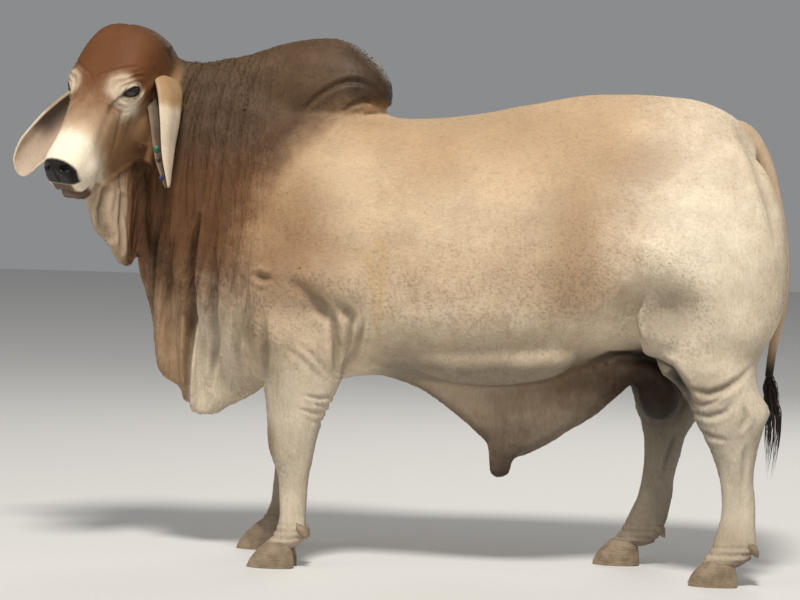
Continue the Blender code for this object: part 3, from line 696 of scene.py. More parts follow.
HEAD_AXES = head_frame()


def head_point(along, left, out):
    f, l, d = HEAD_AXES
    return POLL + f * along + l * left + d * out


def head_rings():
    rings = []
    for *section, square in between_rows(HEAD, 5):
        edge = [oval(2 * math.pi * i / 48, square if i < 24 else 2.1) for i in range(48)]
        rings.append([head_point(*upright(c, s, *section)) for c, s in edge])
    return rings


def modifier(thing, kind, **settings):
    """Apply a modifier."""
    made = thing.modifiers.new(kind.lower(), kind)
    for key, value in settings.items():
        setattr(made, key, value)
    graph = bpy.context.evaluated_depsgraph_get()
    mesh = bpy.data.meshes.new_from_object(thing.evaluated_get(graph))
    old = thing.data
    thing.modifiers.clear()
    thing.data = mesh
    bpy.data.meshes.remove(old)


def points_of(mesh, field="co"):
    flat = np.empty(len(mesh.vertices) * 3)
    mesh.vertices.foreach_get(field, flat)
    return flat.reshape(-1, 3)


def set_points(mesh, points):
    mesh.vertices.foreach_set("co", np.asarray(points, float).ravel())
    mesh.update()


ZOOM_CENTRE = np.array(head_point(0.27, 0.0, -0.1))


def swelled(r):
    return 1 + (HEAD_ZOOM - 1) * np.exp(-((r / HEAD_ZOOM_RADIUS) ** 2))


def zoomed(points):
    """Space swelled round the head, so that even steps there are finer on the real head."""
    away = points - ZOOM_CENTRE
    return ZOOM_CENTRE + away * swelled(np.linalg.norm(away, axis=1, keepdims=True))


def unzoomed(points):
    """The inverse of zoomed, by bisection along each ray from the centre."""
    away = points - ZOOM_CENTRE
    far = np.maximum(np.linalg.norm(away, axis=1, keepdims=True), 1e-9)
    low, high = np.zeros_like(far), far.copy()
    for _ in range(40):
        r = (low + high) / 2
        short = r * swelled(r) < far
        low, high = np.where(short, r, low), np.where(short, high, r)
    return ZOOM_CENTRE + away / far * (low + high) / 2


def flesh():
    """All forms of flesh fused into one skin, smoothed and refined."""
    bm = bmesh.new()
    throat = between_rows(THROAT, 4)
    throat = np.hstack([throat, np.gradient(throat[:, :2], axis=0)])
    for rings in (
        rings_of(between_rows(TRUNK, 5), 48, 2.15, upright),
        rings_of(between_rows(HUMP, 5), 48, 2.0, upright),
        rings_of(between_rows(NECK, 4), 40, 2.1, neck_spot),
        level_rings(DEWLAP, power=2.4),
        rings_of(throat, 20, 2.4, throat_spot),
        head_rings(),
        rings_of(between_rows(SHEATH, 4), 20, 2.4, sheath_spot),
        level_rings(SHEATH_TIP),
        level_rings(SCROTUM, power=2.0),
    ):
        loft(bm, rings)
    for leg in FEET:
        rows = FORELEG if leg.startswith("fore") else HINDLEG
        loft(bm, level_rings(rows if leg.endswith("left") else rows * (1, 1, 1, -1, 1), leg))
        for sign in (-1, 1):
            middle = (heel(leg) - 0.022, FEET[leg][1] + sign * 0.024, DEWCLAW_HEIGHT + 0.016)
            ball(bm, middle, ((0.026, 0, 0), (0, 0.022, 0), (0, 0, 0.032)))
    f, l, d = HEAD_AXES
    for side in (-1, 1):
        for x, y, z, rx, ry, rz in MUSCLES:
            ball(bm, (x, side * y, z), ((rx, 0, 0), (0, ry, 0), (0, 0, rz)))
        for along, left, out, ra, rl, ro in HEAD_MUSCLES:
            ball(bm, head_point(along, side * left, out), (f * ra, l * rl, d * ro))
    hide = add_object("hide", bm)
    set_points(hide.data, zoomed(points_of(hide.data)))
    modifier(hide, "REMESH", mode="VOXEL", voxel_size=VOXEL)
    modifier(hide, "SMOOTH", factor=0.6, iterations=7)
    modifier(hide, "SUBSURF", levels=1, render_levels=1)
    set_points(hide.data, unzoomed(points_of(hide.data)))
    return hide


def bump(distance, width):
    return np.exp(-((distance / width) ** 2))


def ramp(value, low, high):
    """Smooth step from 0 at low to 1 at high."""
    t = np.clip((value - low) / (high - low), 0, 1)
    return t * t * (3 - 2 * t)


def one_side(points):
    """Both sides of the body or head laid on the near one."""
    return points * (1, 0, 1) + np.abs(points) * (0, 1, 0)


def path_distance(points, path):
    """Distance of each point from a polyline, and how far along it the nearest place is, 0 to 1."""
    best, share = np.full(len(points), 1e9), np.zeros(len(points))
    count = len(path) - 1
    for i in range(count):
        start, step = path[i], path[i + 1] - path[i]
        t = np.clip((points - start) @ step / (step @ step), 0, 1)
        distance = np.linalg.norm(points - start - t[:, None] * step, axis=1)
        closer = distance < best
        best[closer] = distance[closer]
        share[closer] = (i + t[closer]) / count
    return best, share


def head_coordinates(points):
    away = points - np.array(POLL)
    return np.stack([away @ np.array(axis) for axis in HEAD_AXES], axis=1)


def smooth_noise(points, scale, seed):
    """Sum of a few slanted waves, a soft random field from -1 to 1."""
    rng = np.random.default_rng(seed)
    field = np.zeros(len(points))
    for _ in range(7):
        direction = rng.normal(size=3)
        direction *= 2 * math.pi / scale * rng.uniform(0.6, 1.5) / np.linalg.norm(direction)
        field += np.sin(points @ direction + rng.uniform(0, 2 * math.pi))
    return field / 4


# Marks of the head in its own frame, both sides: width, depth, path
HEAD_FOLDS = paths("""
    # inner corner of the eye and its tear line
    5 6 272 112 4 303 98 2 332 82 -3 346 76 -12
    # between the bridge of the nose and the cheek
    12 4 335 85 -10 390 80 -30 445 78 -60 455 68 -148
    # long folds of cheek and jaw
    9 4 315 102 -39 345 98 -70 390 85 -120 440 68 -175
    10 5 290 112 -85 350 95 -150 403 60 -215
    11 5 200 130 -100 250 118 -150 300 92 -220
    # corner of the mouth
    5.5 10 602 0 -128 596 24 -142 581 42 -157 562 56 -160 530 68 -156
    # comma of the nostril
    7.5 18 588 30 -36 580 46 -38 578 60 -52 584 62 -76
""", 3)

# Directions about the eye in the head's frame, and half axes of the oval of its brow fold
EYE_ACROSS = np.array((-0.882, 0.285, -0.376))
EYE_ABOVE = np.array((-0.421, -0.114, 0.901))
BROW_OVAL = (0.06, 0.042)

# Folds round the eye: which oval, width, depth; above the eye, then below it
BROW_FOLDS = ((0.7, 0.09, 0.003), (1.08, 0.12, 0.0045), (1.42, 0.1, 0.0035), (1.74, 0.09, 0.0025))
BAG_FOLDS = ((0.78, 0.1, 0.0025), (1.15, 0.12, 0.0035), (1.55, 0.1, 0.002))


def about_eye(face):
    """Place about the eye: towards its outer corner, upwards, and the oval it lies on."""
    away = face - np.array(EYE_SPOT)
    across, above = away @ EYE_ACROSS, away @ EYE_ABOVE
    return across, above, np.hypot(across / BROW_OVAL[0], (above - 0.004) / BROW_OVAL[1])


def sculpt_head(hide):
    """Folds of face and lids, philtrum and crown; gives the painted shade in them."""
    points, normals = points_of(hide.data), points_of(hide.data, "normal")
    place = head_coordinates(points)
    near = (place[:, 0] > -0.06) & (place[:, 0] < 0.68) & (np.abs(place[:, 1]) < 0.2) & (place[:, 2] > -0.36)
    folded = one_side(place)
    amount = np.zeros(len(points))
    for path, width, depth in HEAD_FOLDS:
        distance, share = path_distance(folded, path)
        amount -= depth * bump(distance, width) * (1 - 0.5 * share)
    across, above, oval_number = about_eye(folded)
    oval_number = oval_number + 0.1 * smooth_noise(folded, 0.07, 31)
    upper = ramp(above, -0.01, 0.014) * (1 - ramp(across, 0.03, 0.06))
    amount += 0.006 * bump(np.hypot(across, above), 0.04)
    for share_here, folds in ((upper, BROW_FOLDS), (1 - upper, BAG_FOLDS)):
        for oval_here, width, depth in folds:
            fold = depth * bump(oval_number - oval_here, width)
            amount -= fold * share_here * (1 - ramp(across, 0.045, 0.075))
    along, side, out = folded.T
    philtrum = bump(side, 0.004) * ramp(along, 0.555, 0.585) * ramp(out, -0.125, -0.095) * ramp(-out, 0.02, 0.05)
    crown = bump(side, 0.012) * ramp(-along, -0.12, -0.02)
    amount -= 0.004 * philtrum
    amount -= 0.004 * crown
    set_points(hide.data, points + normals * (amount * near)[:, None])
    return cavity(np.minimum(amount, 0) * near, 0.012)


def gaze(side):
    f, l, d = HEAD_AXES
    return (l * side * 0.93 + f * 0.22 + d * 0.22).normalized()


def hide_tree(hide):
    """The hide round the head, to find places on it."""
    quads = quads_of(hide.data)
    points = points_of(hide.data)
    near = np.linalg.norm(points[quads[:, 0]] - np.array(POLL), axis=1) < 0.55
    return BVHTree.FromPolygons(points.tolist(), quads[near].tolist())


def on_hide(tree, spot, toward):
    """The place on the hide under a spot, looked at against the given way."""
    found, _, _, _ = tree.ray_cast(spot + toward * 0.12, -toward)
    return found if found is not None else spot


def eye_centre(tree, side):
    spot = head_point(EYE_SPOT.x, side * EYE_SPOT.y, EYE_SPOT.z)
    return on_hide(tree, spot, gaze(side)) - gaze(side) * (EYE_RADIUS * 0.86)


def sink_sockets(hide, centres):
    """Press a pit behind each eyeball."""
    points = points_of(hide.data)
    for side, centre in centres.items():
        away = points - np.array(centre)
        depth = away @ np.array(gaze(side))
        lateral = np.linalg.norm(away - depth[:, None] * np.array(gaze(side)), axis=1)
        inside = (lateral < 0.04) & (depth > -0.02) & (depth < 0.06)
        share = 1 - ramp(lateral, 0.0235, 0.029)
        floor = -0.008 - depth
        points = points + np.array(gaze(side)) * (np.minimum(floor, 0) * share * inside)[:, None]
    set_points(hide.data, points)


def cavity(depth, full):
    """Painted shade in the folds: how much darker the coat is there, from the depth they are pressed in."""
    return -0.38 * np.clip(-depth / full, 0, 1)


def soft_shade(points, normals):
    """Painted shade under the belly, between the legs, on the legs' inner faces, beside the dewlap, in the throat
    fold and in the hollows; the legs darker lower down.
    """
    x, y, z = points.T
    flat = beside_near_leg(points)
    legs = 1 - ramp(z, 0.55, 0.8)
    underside = ramp(-normals[:, 2], 0.02, 0.65) * (1 - ramp(z, 0.66, 0.84)) * ramp(x, -0.12, 0.02)
    inner = ramp(-normals[:, 1] * np.sign(y), -0.3, 0.4) * ramp(np.abs(y), 0.05, 0.09)
    shade = legs * (0.13 + 0.08 * (1 - ramp(z, 0.42, 0.5)))
    # painted shade on faces turned down under the belly and on the legs' inner faces
    shade += 0.52 * underside + 0.36 * inner * (1 - ramp(z, 0.6, 0.85))
    # painted shadow beside the dewlap and in the throat fold
    shade += 0.45 * bump(path_distance(flat, BESIDE_DEWLAP)[0], 0.035)
    shade += 0.3 * bump(path_distance(points, THROAT_FOLDS[0][0])[0], 0.018)
    # painted shade in the listed places
    for place, hollows in ((flat, SHADED_SIDE), (points, SHADED)):
        for share, *hollow in hollows:
            shade += share * blob(place, hollow[:3], hollow[3:])
    return -np.clip(shade, 0, 0.6)


def beside_near_leg(points):
    """Places in the side view, with the far legs' swing taken out so that both legs share marks."""
    x, y, z = points.T
    moved = x.copy()
    for leg, here in (("foreleg_right", x < 0.1), ("hindleg_right", x > 0.3)):
        reach, _, start, curve = SWING[leg]
        moved -= reach * np.clip(1 - z / start, 0, 1) ** curve * ramp(y, 0.04, 0.09) * here
    return np.stack([moved, np.zeros_like(x), z], axis=1)


def throat_share(points):
    """1 on the hanging skin of the throat, and the place along it from chin to neck."""
    distance, share = path_distance(points * (1, 1, 0), np.insert(THROAT[:, :2], 2, 0, axis=1))
    height = points[:, 2]
    skin = (1 - ramp(distance, 0.045, 0.075)) * (1 - ramp(height, 1.24, 1.34)) * ramp(height, 0.9, 0.95)
    return skin * (1 - ramp(share, 0.6, 0.74)), share


def creases(phase):
    """Narrow grooves between broad round ridges."""
    return -(1 - np.abs(np.sin(phase))) ** 2.5


def sculpt_body(hide):
    """Folds of neck and dewlap, creases at the joints and muscle; gives the painted shade in the folds."""
    points, normals = points_of(hide.data), points_of(hide.data, "normal")
    x, _, z = points.T
    off_head = 1 - head_share(*one_side(head_coordinates(points)).T)
    flat = beside_near_leg(points)
    amount = np.zeros(len(points))
    for path, width, depth in FOLDS:
        distance, share = path_distance(flat, path)
        taper = np.sin(math.pi * np.clip(share, 0.02, 0.98)) ** 0.6
        span = width * (0.55 + 0.45 * taper)
        amount -= depth * bump(distance, span) * taper
        amount += 0.25 * depth * bump(distance - 2.2 * span, span) * taper
    folds = np.minimum(amount, 0)
    sideways = ramp(np.abs(normals[:, 1]), 0.1, 0.5)
    for mx, mz, rx, rz, depth in HOLLOWS:
        amount -= depth * np.exp(-(((flat[:, 0] - mx) / rx) ** 2) - ((z - mz) / rz) ** 2) * sideways
    throat, along_throat = throat_share(points)
    neck = ramp(-x, 0.38, 0.56) * ramp(z, 0.6, 0.85) * off_head * (1 - throat)
    wander = 1.1 * smooth_noise(points, 0.45, 3)
    strength = np.clip(0.85 + 0.5 * smooth_noise(points, 0.3, 4), 0.35, 1.3)
    line = x - 0.16 * z
    wrinkles = neck * strength * (
        0.011 * creases(line * math.pi / 0.056 + 1.3 * wander)
        + 0.005 * creases(line * math.pi / 0.0245 + 1.9 * wander)
    )
    wrinkles *= 0.2 + 0.8 * sideways
    wrinkles += throat * 0.008 * creases(along_throat * 2.8 * math.pi + 0.9 * wander + 5 * (z - 1.1))
    for path, width, depth in THROAT_FOLDS:
        distance, share = path_distance(points, path)
        wrinkles -= depth * bump(distance, width) * np.sin(math.pi * np.clip(share, 0.06, 0.94)) ** 0.5
        wrinkles += 0.4 * depth * bump(distance - 2.2 * width, width)
    drape = ramp(-x, 0.52, 0.64) * (1 - ramp(z, 0.95, 1.25)) * ramp(z, 0.44, 0.56)
    amount += wrinkles + 0.01 * np.cos((x + 0.05 * z + 0.76) * 2 * math.pi / 0.09) * drape
    folds += wrinkles
    amount += 0.0016 * smooth_noise(points, 0.14, 8) + 0.0035 * smooth_noise(points, 0.45, 9)
    amount += 0.0018 * smooth_noise(points * (1, 1, 0.6), 0.07, 10) * (1 - ramp(z, 0.5, 0.62))
    pastern = ramp(z, 0.07, 0.085) * (1 - ramp(z, 0.125, 0.15))
    amount += 0.0055 * creases(z * math.pi / 0.021 + 2 * wander) * pastern + 0.004 * bump(z - 0.084, 0.012)
    set_points(hide.data, points + normals * (amount * (0.08 + 0.92 * off_head))[:, None])
    return cavity(folds * off_head, 0.015)


def scalar(mesh, name, values):
    """A number at each point, or one number for all of them."""
    attribute = mesh.attributes.new(name, "FLOAT", "POINT")
    values = np.broadcast_to(np.asarray(values, np.float32), len(mesh.vertices))
    attribute.data.foreach_set("value", values.ravel())


def blob(points, centre, radii):
    away = (points - np.array(centre)) / np.array(radii)
    return np.exp(-(np.einsum("ij,ij->i", away, away) ** 1.3))


def union(*masks):
    rest = np.ones_like(masks[0])
    for mask in masks:
        rest = rest * (1 - np.clip(mask, 0, 1))
    return 1 - rest


def head_share(along, side, out):
    """1 on the head, fading to 0 on the neck and the throat skin."""
    rows = np.array(HEAD).T
    top, bottom, half = (np.interp(along, rows[0], rows[k]) for k in (1, 2, 3))
    section = np.maximum(np.abs(side) / half, np.abs(out - (top + bottom) / 2) / ((top - bottom) / 2))
    return (1 - ramp(section, 1.08, 1.24)) * ramp(along, -0.09, -0.03)


def markings(points):
    """Share of each colour at points of the body, by smooth forms in space."""
    x, _, z = points.T
    folded, flat = one_side(points), beside_near_leg(points)
    along, side, out = one_side(head_coordinates(points)).T
    head = head_share(along, side, out)
    throat, _ = throat_share(points)
    rear = ramp(x + 0.25 * (1.2 - z), 0.6, 0.95)
    legs = 1 - ramp(z, 0.5, 0.75)
    low = 1 - ramp(z, 0.78, 1.05)
    foot = 1 - ramp(z, 0.1, 0.2)
    hang = ramp(-x, 0.44, 0.56) * (1 - ramp(z, 0.92, 1.06))
    behind_gap = ramp(x + 0.1 * (0.8 - z), -0.685, -0.665)
    edge = -0.43 + 0.25 * (z - 1.19)
    neck = ramp(edge - x, -0.07, 0.13) * ramp(z - 0.6 * np.clip(edge - x, 0, 0.2), 0.7, 0.94) * (1 - throat)
    soft = 0.02 + 0.08 * ramp(-x, 0.1, 0.3)
    hump = ramp((z - np.interp(x, *BELOW_HUMP.T)) / soft, -1.0, 1.2) * ramp(-x, -0.02, 0.01)
    waver = flat + np.outer(0.01 * smooth_noise(points, 0.09, 41), (1, 0, 0))
    dark = neck**1.6 * (0.92 - 0.42 * (1 - ramp(z, 1.1, 1.45)))
    broad = {
        "sand": (0.7 * rear, 0.6 * low),
        "cream": (
            rear * 0.45, legs * 0.7 * (1 - hang), low * 0.35 * ramp(x, -0.5, -0.3),
            hang * behind_gap * 0.8, 0.58 * throat,
        ),
        "tan": (
            hang * (1 - behind_gap) * 0.55, hang * behind_gap * 0.1, 0.3 * foot, 0.38 * throat,
            1.8 * neck * (1 - neck), 1.6 * hump * (1 - hump),
        ),
        "red": (0.92 * neck * (1 - ramp(z, 1.25, 1.55)),),
        "umber": (np.maximum(dark, 0.9 * hump), 0.2 * hang * (1 - behind_gap), 0.1 * throat),
        "black": (hump * (0.22 + 0.38 * ramp(x, -0.26, -0.12)),),
    }
    spaces = {"folded": folded, "flat": flat, "points": points}
    masks = {}
    face = head_markings(along, side, out)
    for key in MASKS:
        patches = [
            row[0] * blob(spaces[space], row[1:4], row[4:])
            for space, rows in PATCHES.get(key, {}).items()
            for row in rows
        ]
        mask = union(np.zeros_like(x), *patches, *broad.get(key, ()))
        if key == "stain":
            mask = 0.34 * union(*(bump(path_distance(waver, path)[0], width) for path, width, _ in STAINS))
        other = np.clip(face.get(key, np.zeros_like(x)), 0, 0.999)
        masks[key] = 1 - (1 - np.clip(mask, 0, 0.999)) ** (1 - head) * (1 - other) ** head
    return masks, head


def head_markings(along, side, out):
    """Red-brown forehead, tan cheeks, cream round the eye and over bridge and muzzle, black pad."""
    face = np.stack([along, side, out], axis=1)
    across, above, _ = about_eye(face)
    wander = 0.6 * smooth_noise(face, 0.11, 21) + 0.4 * smooth_noise(face, 0.04, 22)
    oval_number = np.hypot((across + 0.006) / 0.064, (above - 0.01) / 0.058) + 0.1 * wander
    outer = ramp(across + 0.6 * np.clip(above, -0.03, 0.05), 0.022, 0.058)
    ring = ramp(-oval_number, -1.25, -0.75) * (1 - outer)
    below = blob(face, (0.288, 0.11, -0.052), (0.048, 0.06, 0.044))
    bridge = ramp(along + 0.012 * wander, 0.33, 0.5) * ramp(out, -0.1, -0.02)
    chin = ramp(along, 0.48, 0.51)
    low_chin = chin * ramp(-out, 0.15, 0.19)
    muzzle = ramp(along + 0.014 * wander, 0.405, 0.49) * ramp(out, -0.23 + 0.045 * chin, -0.19 + 0.025 * chin)
    cream = union(
        0.45 * low_chin, 0.68 * ring, 0.3 * ring * bump(above - 0.02, 0.012), 0.94 * below, 0.5 * bridge,
        0.98 * muzzle,
    )
    golden = ramp(along, 0.24, 0.34) * ramp(out, -0.1, -0.03)
    brow = ramp(out, -0.13, -0.05) * (1 - ramp(along + 0.4 * (side - 0.06), 0.22, 0.46))
    jaw = ramp(-out, 0.1, 0.2) * (1 - ramp(along, 0.36, 0.46))
    nape = 1 - ramp(along, -0.01, 0.1)
    dull = 1 - cream
    pad = ramp(along, 0.56, 0.568) * ramp(out, -0.106, -0.097) * (1 - ramp(side, 0.064, 0.071))
    lip = ramp(along, 0.535, 0.555) * ramp(out, -0.19, -0.18) * (1 - ramp(out, -0.104, -0.094))
    lip *= 1 - ramp(side - 0.5 * np.clip(-0.13 - out, 0, 0.05), 0.034, 0.05)
    mouth, _ = path_distance(face, HEAD_FOLDS[5][0])
    tear, share = path_distance(face, HEAD_FOLDS[0][0])
    slit = 1 - ramp(np.hypot((across + 0.004) / 0.037, (above - 0.002) / 0.019), 0.72, 1.06)
    return {
        "cream": cream,
        "sand": 0.35 * golden * dull,
        "tan": union(0.85 * (1 - golden), 0.55 * golden) * dull * (1 - 0.3 * low_chin),
        "red": union(0.97 * brow, 0.18 * jaw) * dull,
        "umber": union(0.05 * jaw, 0.92 * nape, 0.15 * brow) * dull,
        "black": union(pad, 0.8 * bump(mouth, 0.0045), 0.97 * bump(tear, 0.0072) * (1 - 0.6 * share), 0.9 * slit),
        "bare": 0.92 * lip * (1 - pad),
    }


def mark(mesh, masks, hang, wrinkle):
    """What the coat's material reads: shares of the colours, hanging hair and wrinkles."""
    for name in MASKS:
        scalar(mesh, "m_" + name, np.clip(masks.get(name, 0.0), 0, 1))
    scalar(mesh, "hang", hang)
    scalar(mesh, "wrinkle", wrinkle)


class Tree:
    """Short hand for building a node tree."""

    def __init__(self, name):
        self.material = bpy.data.materials.new(name)
        self.material.use_nodes = True
        self.nodes = self.material.node_tree.nodes
        self.shader = self.nodes["Principled BSDF"]
        self.place = self.node("TexCoord").outputs["Object"]

    def node(self, kind, sockets=None, **settings):
        made = self.nodes.new("ShaderNode" + kind)
        for key, value in settings.items():
            setattr(made, key, value)
        for key, value in (sockets or {}).items():
            self.feed(made.inputs[key], value)
        return made

    def feed(self, socket, value):
        if isinstance(value, bpy.types.NodeSocket):
            self.material.node_tree.links.new(value, socket)
        else:
            socket.default_value = value

    def surface(self, sockets):
        for name, value in sockets.items():
            self.feed(self.shader.inputs[name], value)
        return self.material

    def math(self, operation, a, b):
        return self.node("Math", {0: a, 1: b}, operation=operation).outputs[0]

    def times(self, a, b):
        return self.math("MULTIPLY", a, b)

    def mix(self, share, a, b, blend="MIX"):
        return self.node("Mix", {0: share, 6: a, 7: b}, data_type="RGBA", blend_type=blend).outputs[2]

    def noise(self, scale, detail, rough=0.55, stretch=None):
        """Noise of the given scale, or of scale 1 in a space stretched along X, Y and Z."""
        place = self.place
        if stretch:
            place = self.node("VectorMath", {0: place, 1: stretch}, operation="MULTIPLY").outputs[0]
        sockets = {"Vector": place, "Scale": scale, "Detail": detail, "Roughness": rough}
        return self.node("TexNoise", sockets).outputs[0]

    def attribute(self, name):
        return self.node("Attribute", attribute_name=name).outputs["Fac"]

    def value_range(self, value, low, high, to_low=0.0, to_high=1.0):
        sockets = {"Value": value, "From Min": low, "From Max": high, "To Min": to_low, "To Max": to_high}
        return self.node("MapRange", sockets, interpolation_type="SMOOTHSTEP").outputs[0]

    def bump(self, height, strength, distance, below=None):
        sockets = {"Height": height, "Strength": strength, "Distance": distance}
        if below is not None:
            sockets["Normal"] = below
        return self.node("Bump", sockets).outputs[0]


def rgba(name, gain=1.0):
    return (*[min(1.0, c * gain) for c in COLOURS[name]], 1.0)


def coat_material(name, hair_bump):
    """Short sleek coat: colours by the markings, broken by noise, with streaks along the hair."""
    t = Tree(name)
    big, middle, fine = t.noise(5.0, 4.0), t.noise(20.0, 4.0), t.noise(130.0, 2.0)
    back = t.noise(1.0, 3.0, 0.6, (40, 330, 330))
    down = t.noise(1.0, 3.0, 0.6, (330, 330, 40))
    streak = t.node("Mix", {0: t.attribute("hang"), 2: back, 3: down}).outputs[0]
    colour = rgba("fawn")
    loose = t.math("ADD", t.times(middle, 0.8), t.times(fine, 0.2))
    loose = t.times(t.math("SUBTRACT", loose, 0.5), 3.6)
    for mask in MASKS:
        given = t.attribute("m_" + mask)
        partial = t.times(given, t.math("SUBTRACT", 1.0, given))
        if mask in ("black", "bare"):
            partial = t.times(partial, 0.4)
        share = t.node("Math", {0: loose, 1: partial, 2: given}, operation="MULTIPLY_ADD", use_clamp=True)
        colour = t.mix(share.outputs[0], colour, rgba(mask))
    mottle = t.value_range(big, 0.35, 0.68, 0.92, 1.08)
    grain = t.value_range(fine, 0.3, 0.7, 0.96, 1.04)
    strand = t.value_range(streak, 0.3, 0.72, 0.93, 1.06)
    # tone noise times the painted shade that the shade attribute carries
    shade = t.times(t.times(t.times(mottle, grain), strand), t.math("ADD", t.attribute("shade"), 1.0))
    grey = t.node("CombineColor", {0: shade, 1: shade, 2: shade}).outputs[0]
    wet = t.attribute("m_black")
    creased = t.noise(1.0, 1.5, 0.5, (62, 62, 4.5))
    crease = t.times(t.value_range(creased, 0.34, 0.6), t.attribute("wrinkle"))
    below = t.bump(streak, hair_bump, 0.0022, t.bump(crease, 0.75, 0.006))
    return t.surface({
        "Base Color": t.mix(1.0, colour, grey, "MULTIPLY"),
        "Roughness": t.value_range(wet, 0.2, 0.9, 0.62, 0.3),
        "Specular IOR Level": 0.18,
        "Normal": t.bump(t.times(t.noise(420.0, 2.0), wet), 0.5, 0.0015, below),
    })


def dress(thing, material):
    thing.data.materials.clear()
    thing.data.materials.append(material)
    thing.data.shade_smooth()
    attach(thing, "root")


def hang_share(points):
    """1 where the hair hangs down, 0 where it lies back along the trunk."""
    x, _, z = points.T
    rump = ramp(x, 0.95, 1.1) * (1 - ramp(z, 1.1, 1.3))
    return np.clip(ramp(-x, 0.42, 0.6) + (1 - ramp(z, 0.62, 0.82)) + rump, 0, 1)


def wrinkle_share(points, head):
    x, _, z = points.T
    neck = ramp(-x, 0.33, 0.5) * (1 - head) * (0.45 + 0.55 * ramp(z, 0.95, 1.2))
    share = np.clip(neck * 0.9 + 0.12 * (1 - neck) + 0.15 * (1 - ramp(z, 0.5, 0.7)), 0, 1)
    return share * (1 - 0.7 * head) * (1 - 0.85 * throat_share(points)[0])


def lie_direction(points, head):
    """The way the coat lies: back along the trunk, down on neck, legs and dewlap, down the face."""
    hang, head = hang_share(points)[:, None], head[:, None]
    lie = np.array((1.0, 0.0, -0.28)) * (1 - hang) + np.array((0.12, 0.0, -1.0)) * hang
    face = np.array(HEAD_AXES[0]) * 0.9 - np.array(HEAD_AXES[2]) * 0.35
    return lie * (1 - head) + face * head


def quads_of(mesh):
    faces = np.empty(len(mesh.polygons) * 4, int)
    mesh.loops.foreach_get("vertex_index", faces)
    return faces.reshape(-1, 4)


def mesh_from(name, points, faces):
    """Object from arrays of points and of faces with an equal count of corners."""
    mesh = bpy.data.meshes.new(name)
    mesh.vertices.add(len(points))
    mesh.loops.add(faces.size)
    mesh.polygons.add(len(faces))
    mesh.vertices.foreach_set("co", np.asarray(points, np.float32).ravel())
    mesh.loops.foreach_set("vertex_index", faces.astype(np.int32).ravel())
    mesh.polygons.foreach_set("loop_start", np.arange(0, faces.size, faces.shape[1], dtype=np.int32))
    mesh.update(calc_edges=True)
    mesh.validate()
    return link(name, mesh)


def unwrap_of(hide):
    """UV layout of a coarse copy of the hide, as triangles of places and of UV corners."""
    coarse = link("coarse", hide.data.copy())
    modifier(coarse, "DECIMATE", ratio=0.03)
    bpy.context.view_layer.objects.active = coarse
    coarse.select_set(True)
    bpy.ops.object.mode_set(mode="EDIT")
    bpy.ops.mesh.select_all(action="SELECT")
    bpy.ops.uv.smart_project(angle_limit=math.radians(60), island_margin=0.002)
    bpy.ops.object.mode_set(mode="OBJECT")
    mesh = coarse.data
    mesh.calc_loop_triangles()
    uv = mesh.uv_layers.active.data
    triangles = np.array([t.vertices for t in mesh.loop_triangles])
    corners = np.array([[uv[i].uv for i in t.loops] for t in mesh.loop_triangles])
    places = points_of(mesh)
    bpy.data.objects.remove(coarse, do_unlink=True)
    return places, triangles, corners


def unwrapped(roots, unwrap):
    """UV place of each root on the unwrap, by its place in the nearest triangle."""
    places, triangles, corners = unwrap
    tree = BVHTree.FromPolygons(places.tolist(), triangles.tolist())
    found = [tree.find_nearest(root) for root in roots]
    spots = np.array([spot for spot, _, _, _ in found])
    index = np.array([k for _, _, k, _ in found])
    a, b, c = (places[triangles[index, i]] for i in range(3))
    one, two, three = b - a, c - a, spots - a
    d00, d01, d11, d20, d21 = (
        np.einsum("ij,ij->i", u, w)
        for u, w in ((one, one), (one, two), (two, two), (three, one), (three, two))
    )
    base = np.maximum(d00 * d11 - d01 * d01, 1e-18)
    v = (d11 * d20 - d01 * d21) / base
    w = (d00 * d21 - d01 * d20) / base
    share = np.stack([1 - v - w, v, w], axis=1)
    return np.einsum("ij,ijk->ik", share, corners[index])


SPINDLE = np.array(((0, 2, 1), (0, 3, 2), (0, 1, 3), (1, 2, 4), (2, 3, 4), (3, 1, 4)))
SPINDLE_UV = np.array(((0.5, 0.0), (0.15, 0.5), (0.5, 0.6), (0.85, 0.5), (0.5, 1.0))) * 0.003


def tufts(name, roots, normals, lies, lengths, widths, lifts, fields, spots, rng):
    """Thin closed spindles that lie along the hide, each with its marks and its UV patch."""
    count = len(roots)
    lies = lies - normals * np.einsum("ij,ij->i", lies, normals)[:, None]
    lies /= np.maximum(np.linalg.norm(lies, axis=1, keepdims=True), 1e-9)
    swerve = rng.normal(0, 0.16, count)[:, None]
    lies = lies * np.cos(swerve) + np.cross(normals, lies) * np.sin(swerve)
    across = np.cross(normals, lies)
    length, width, lift = lengths[:, None], widths[:, None], lifts[:, None]
    middle = roots + lies * length * 0.42 + normals * (0.0003 + lift * 0.45)
    points = np.stack([
        roots - normals * 0.0012, middle + across * width / 2 - normals * 0.0005, middle + normals * 0.0006,
        middle - across * width / 2 - normals * 0.0005, roots + lies * length + normals * (lift - 0.0003),
    ], axis=1)
    faces = (SPINDLE[None] + np.arange(count)[:, None, None] * 5).reshape(-1, 3)
    thing = mesh_from(name, points.reshape(-1, 3), faces)
    thing.data.shade_smooth()
    thing.data.normals_split_custom_set_from_vertices(np.repeat(normals, 5, axis=0).tolist())
    for key, values in fields.items():
        scalar(thing.data, key, np.repeat(values, 5))
    uv = (spots[:, None, :] + SPINDLE_UV[None]).reshape(-1, 2)[faces.ravel()]
    thing.data.uv_layers.new(name="OFBake").data.foreach_set("uv", uv.astype(np.float32).ravel())
    return thing


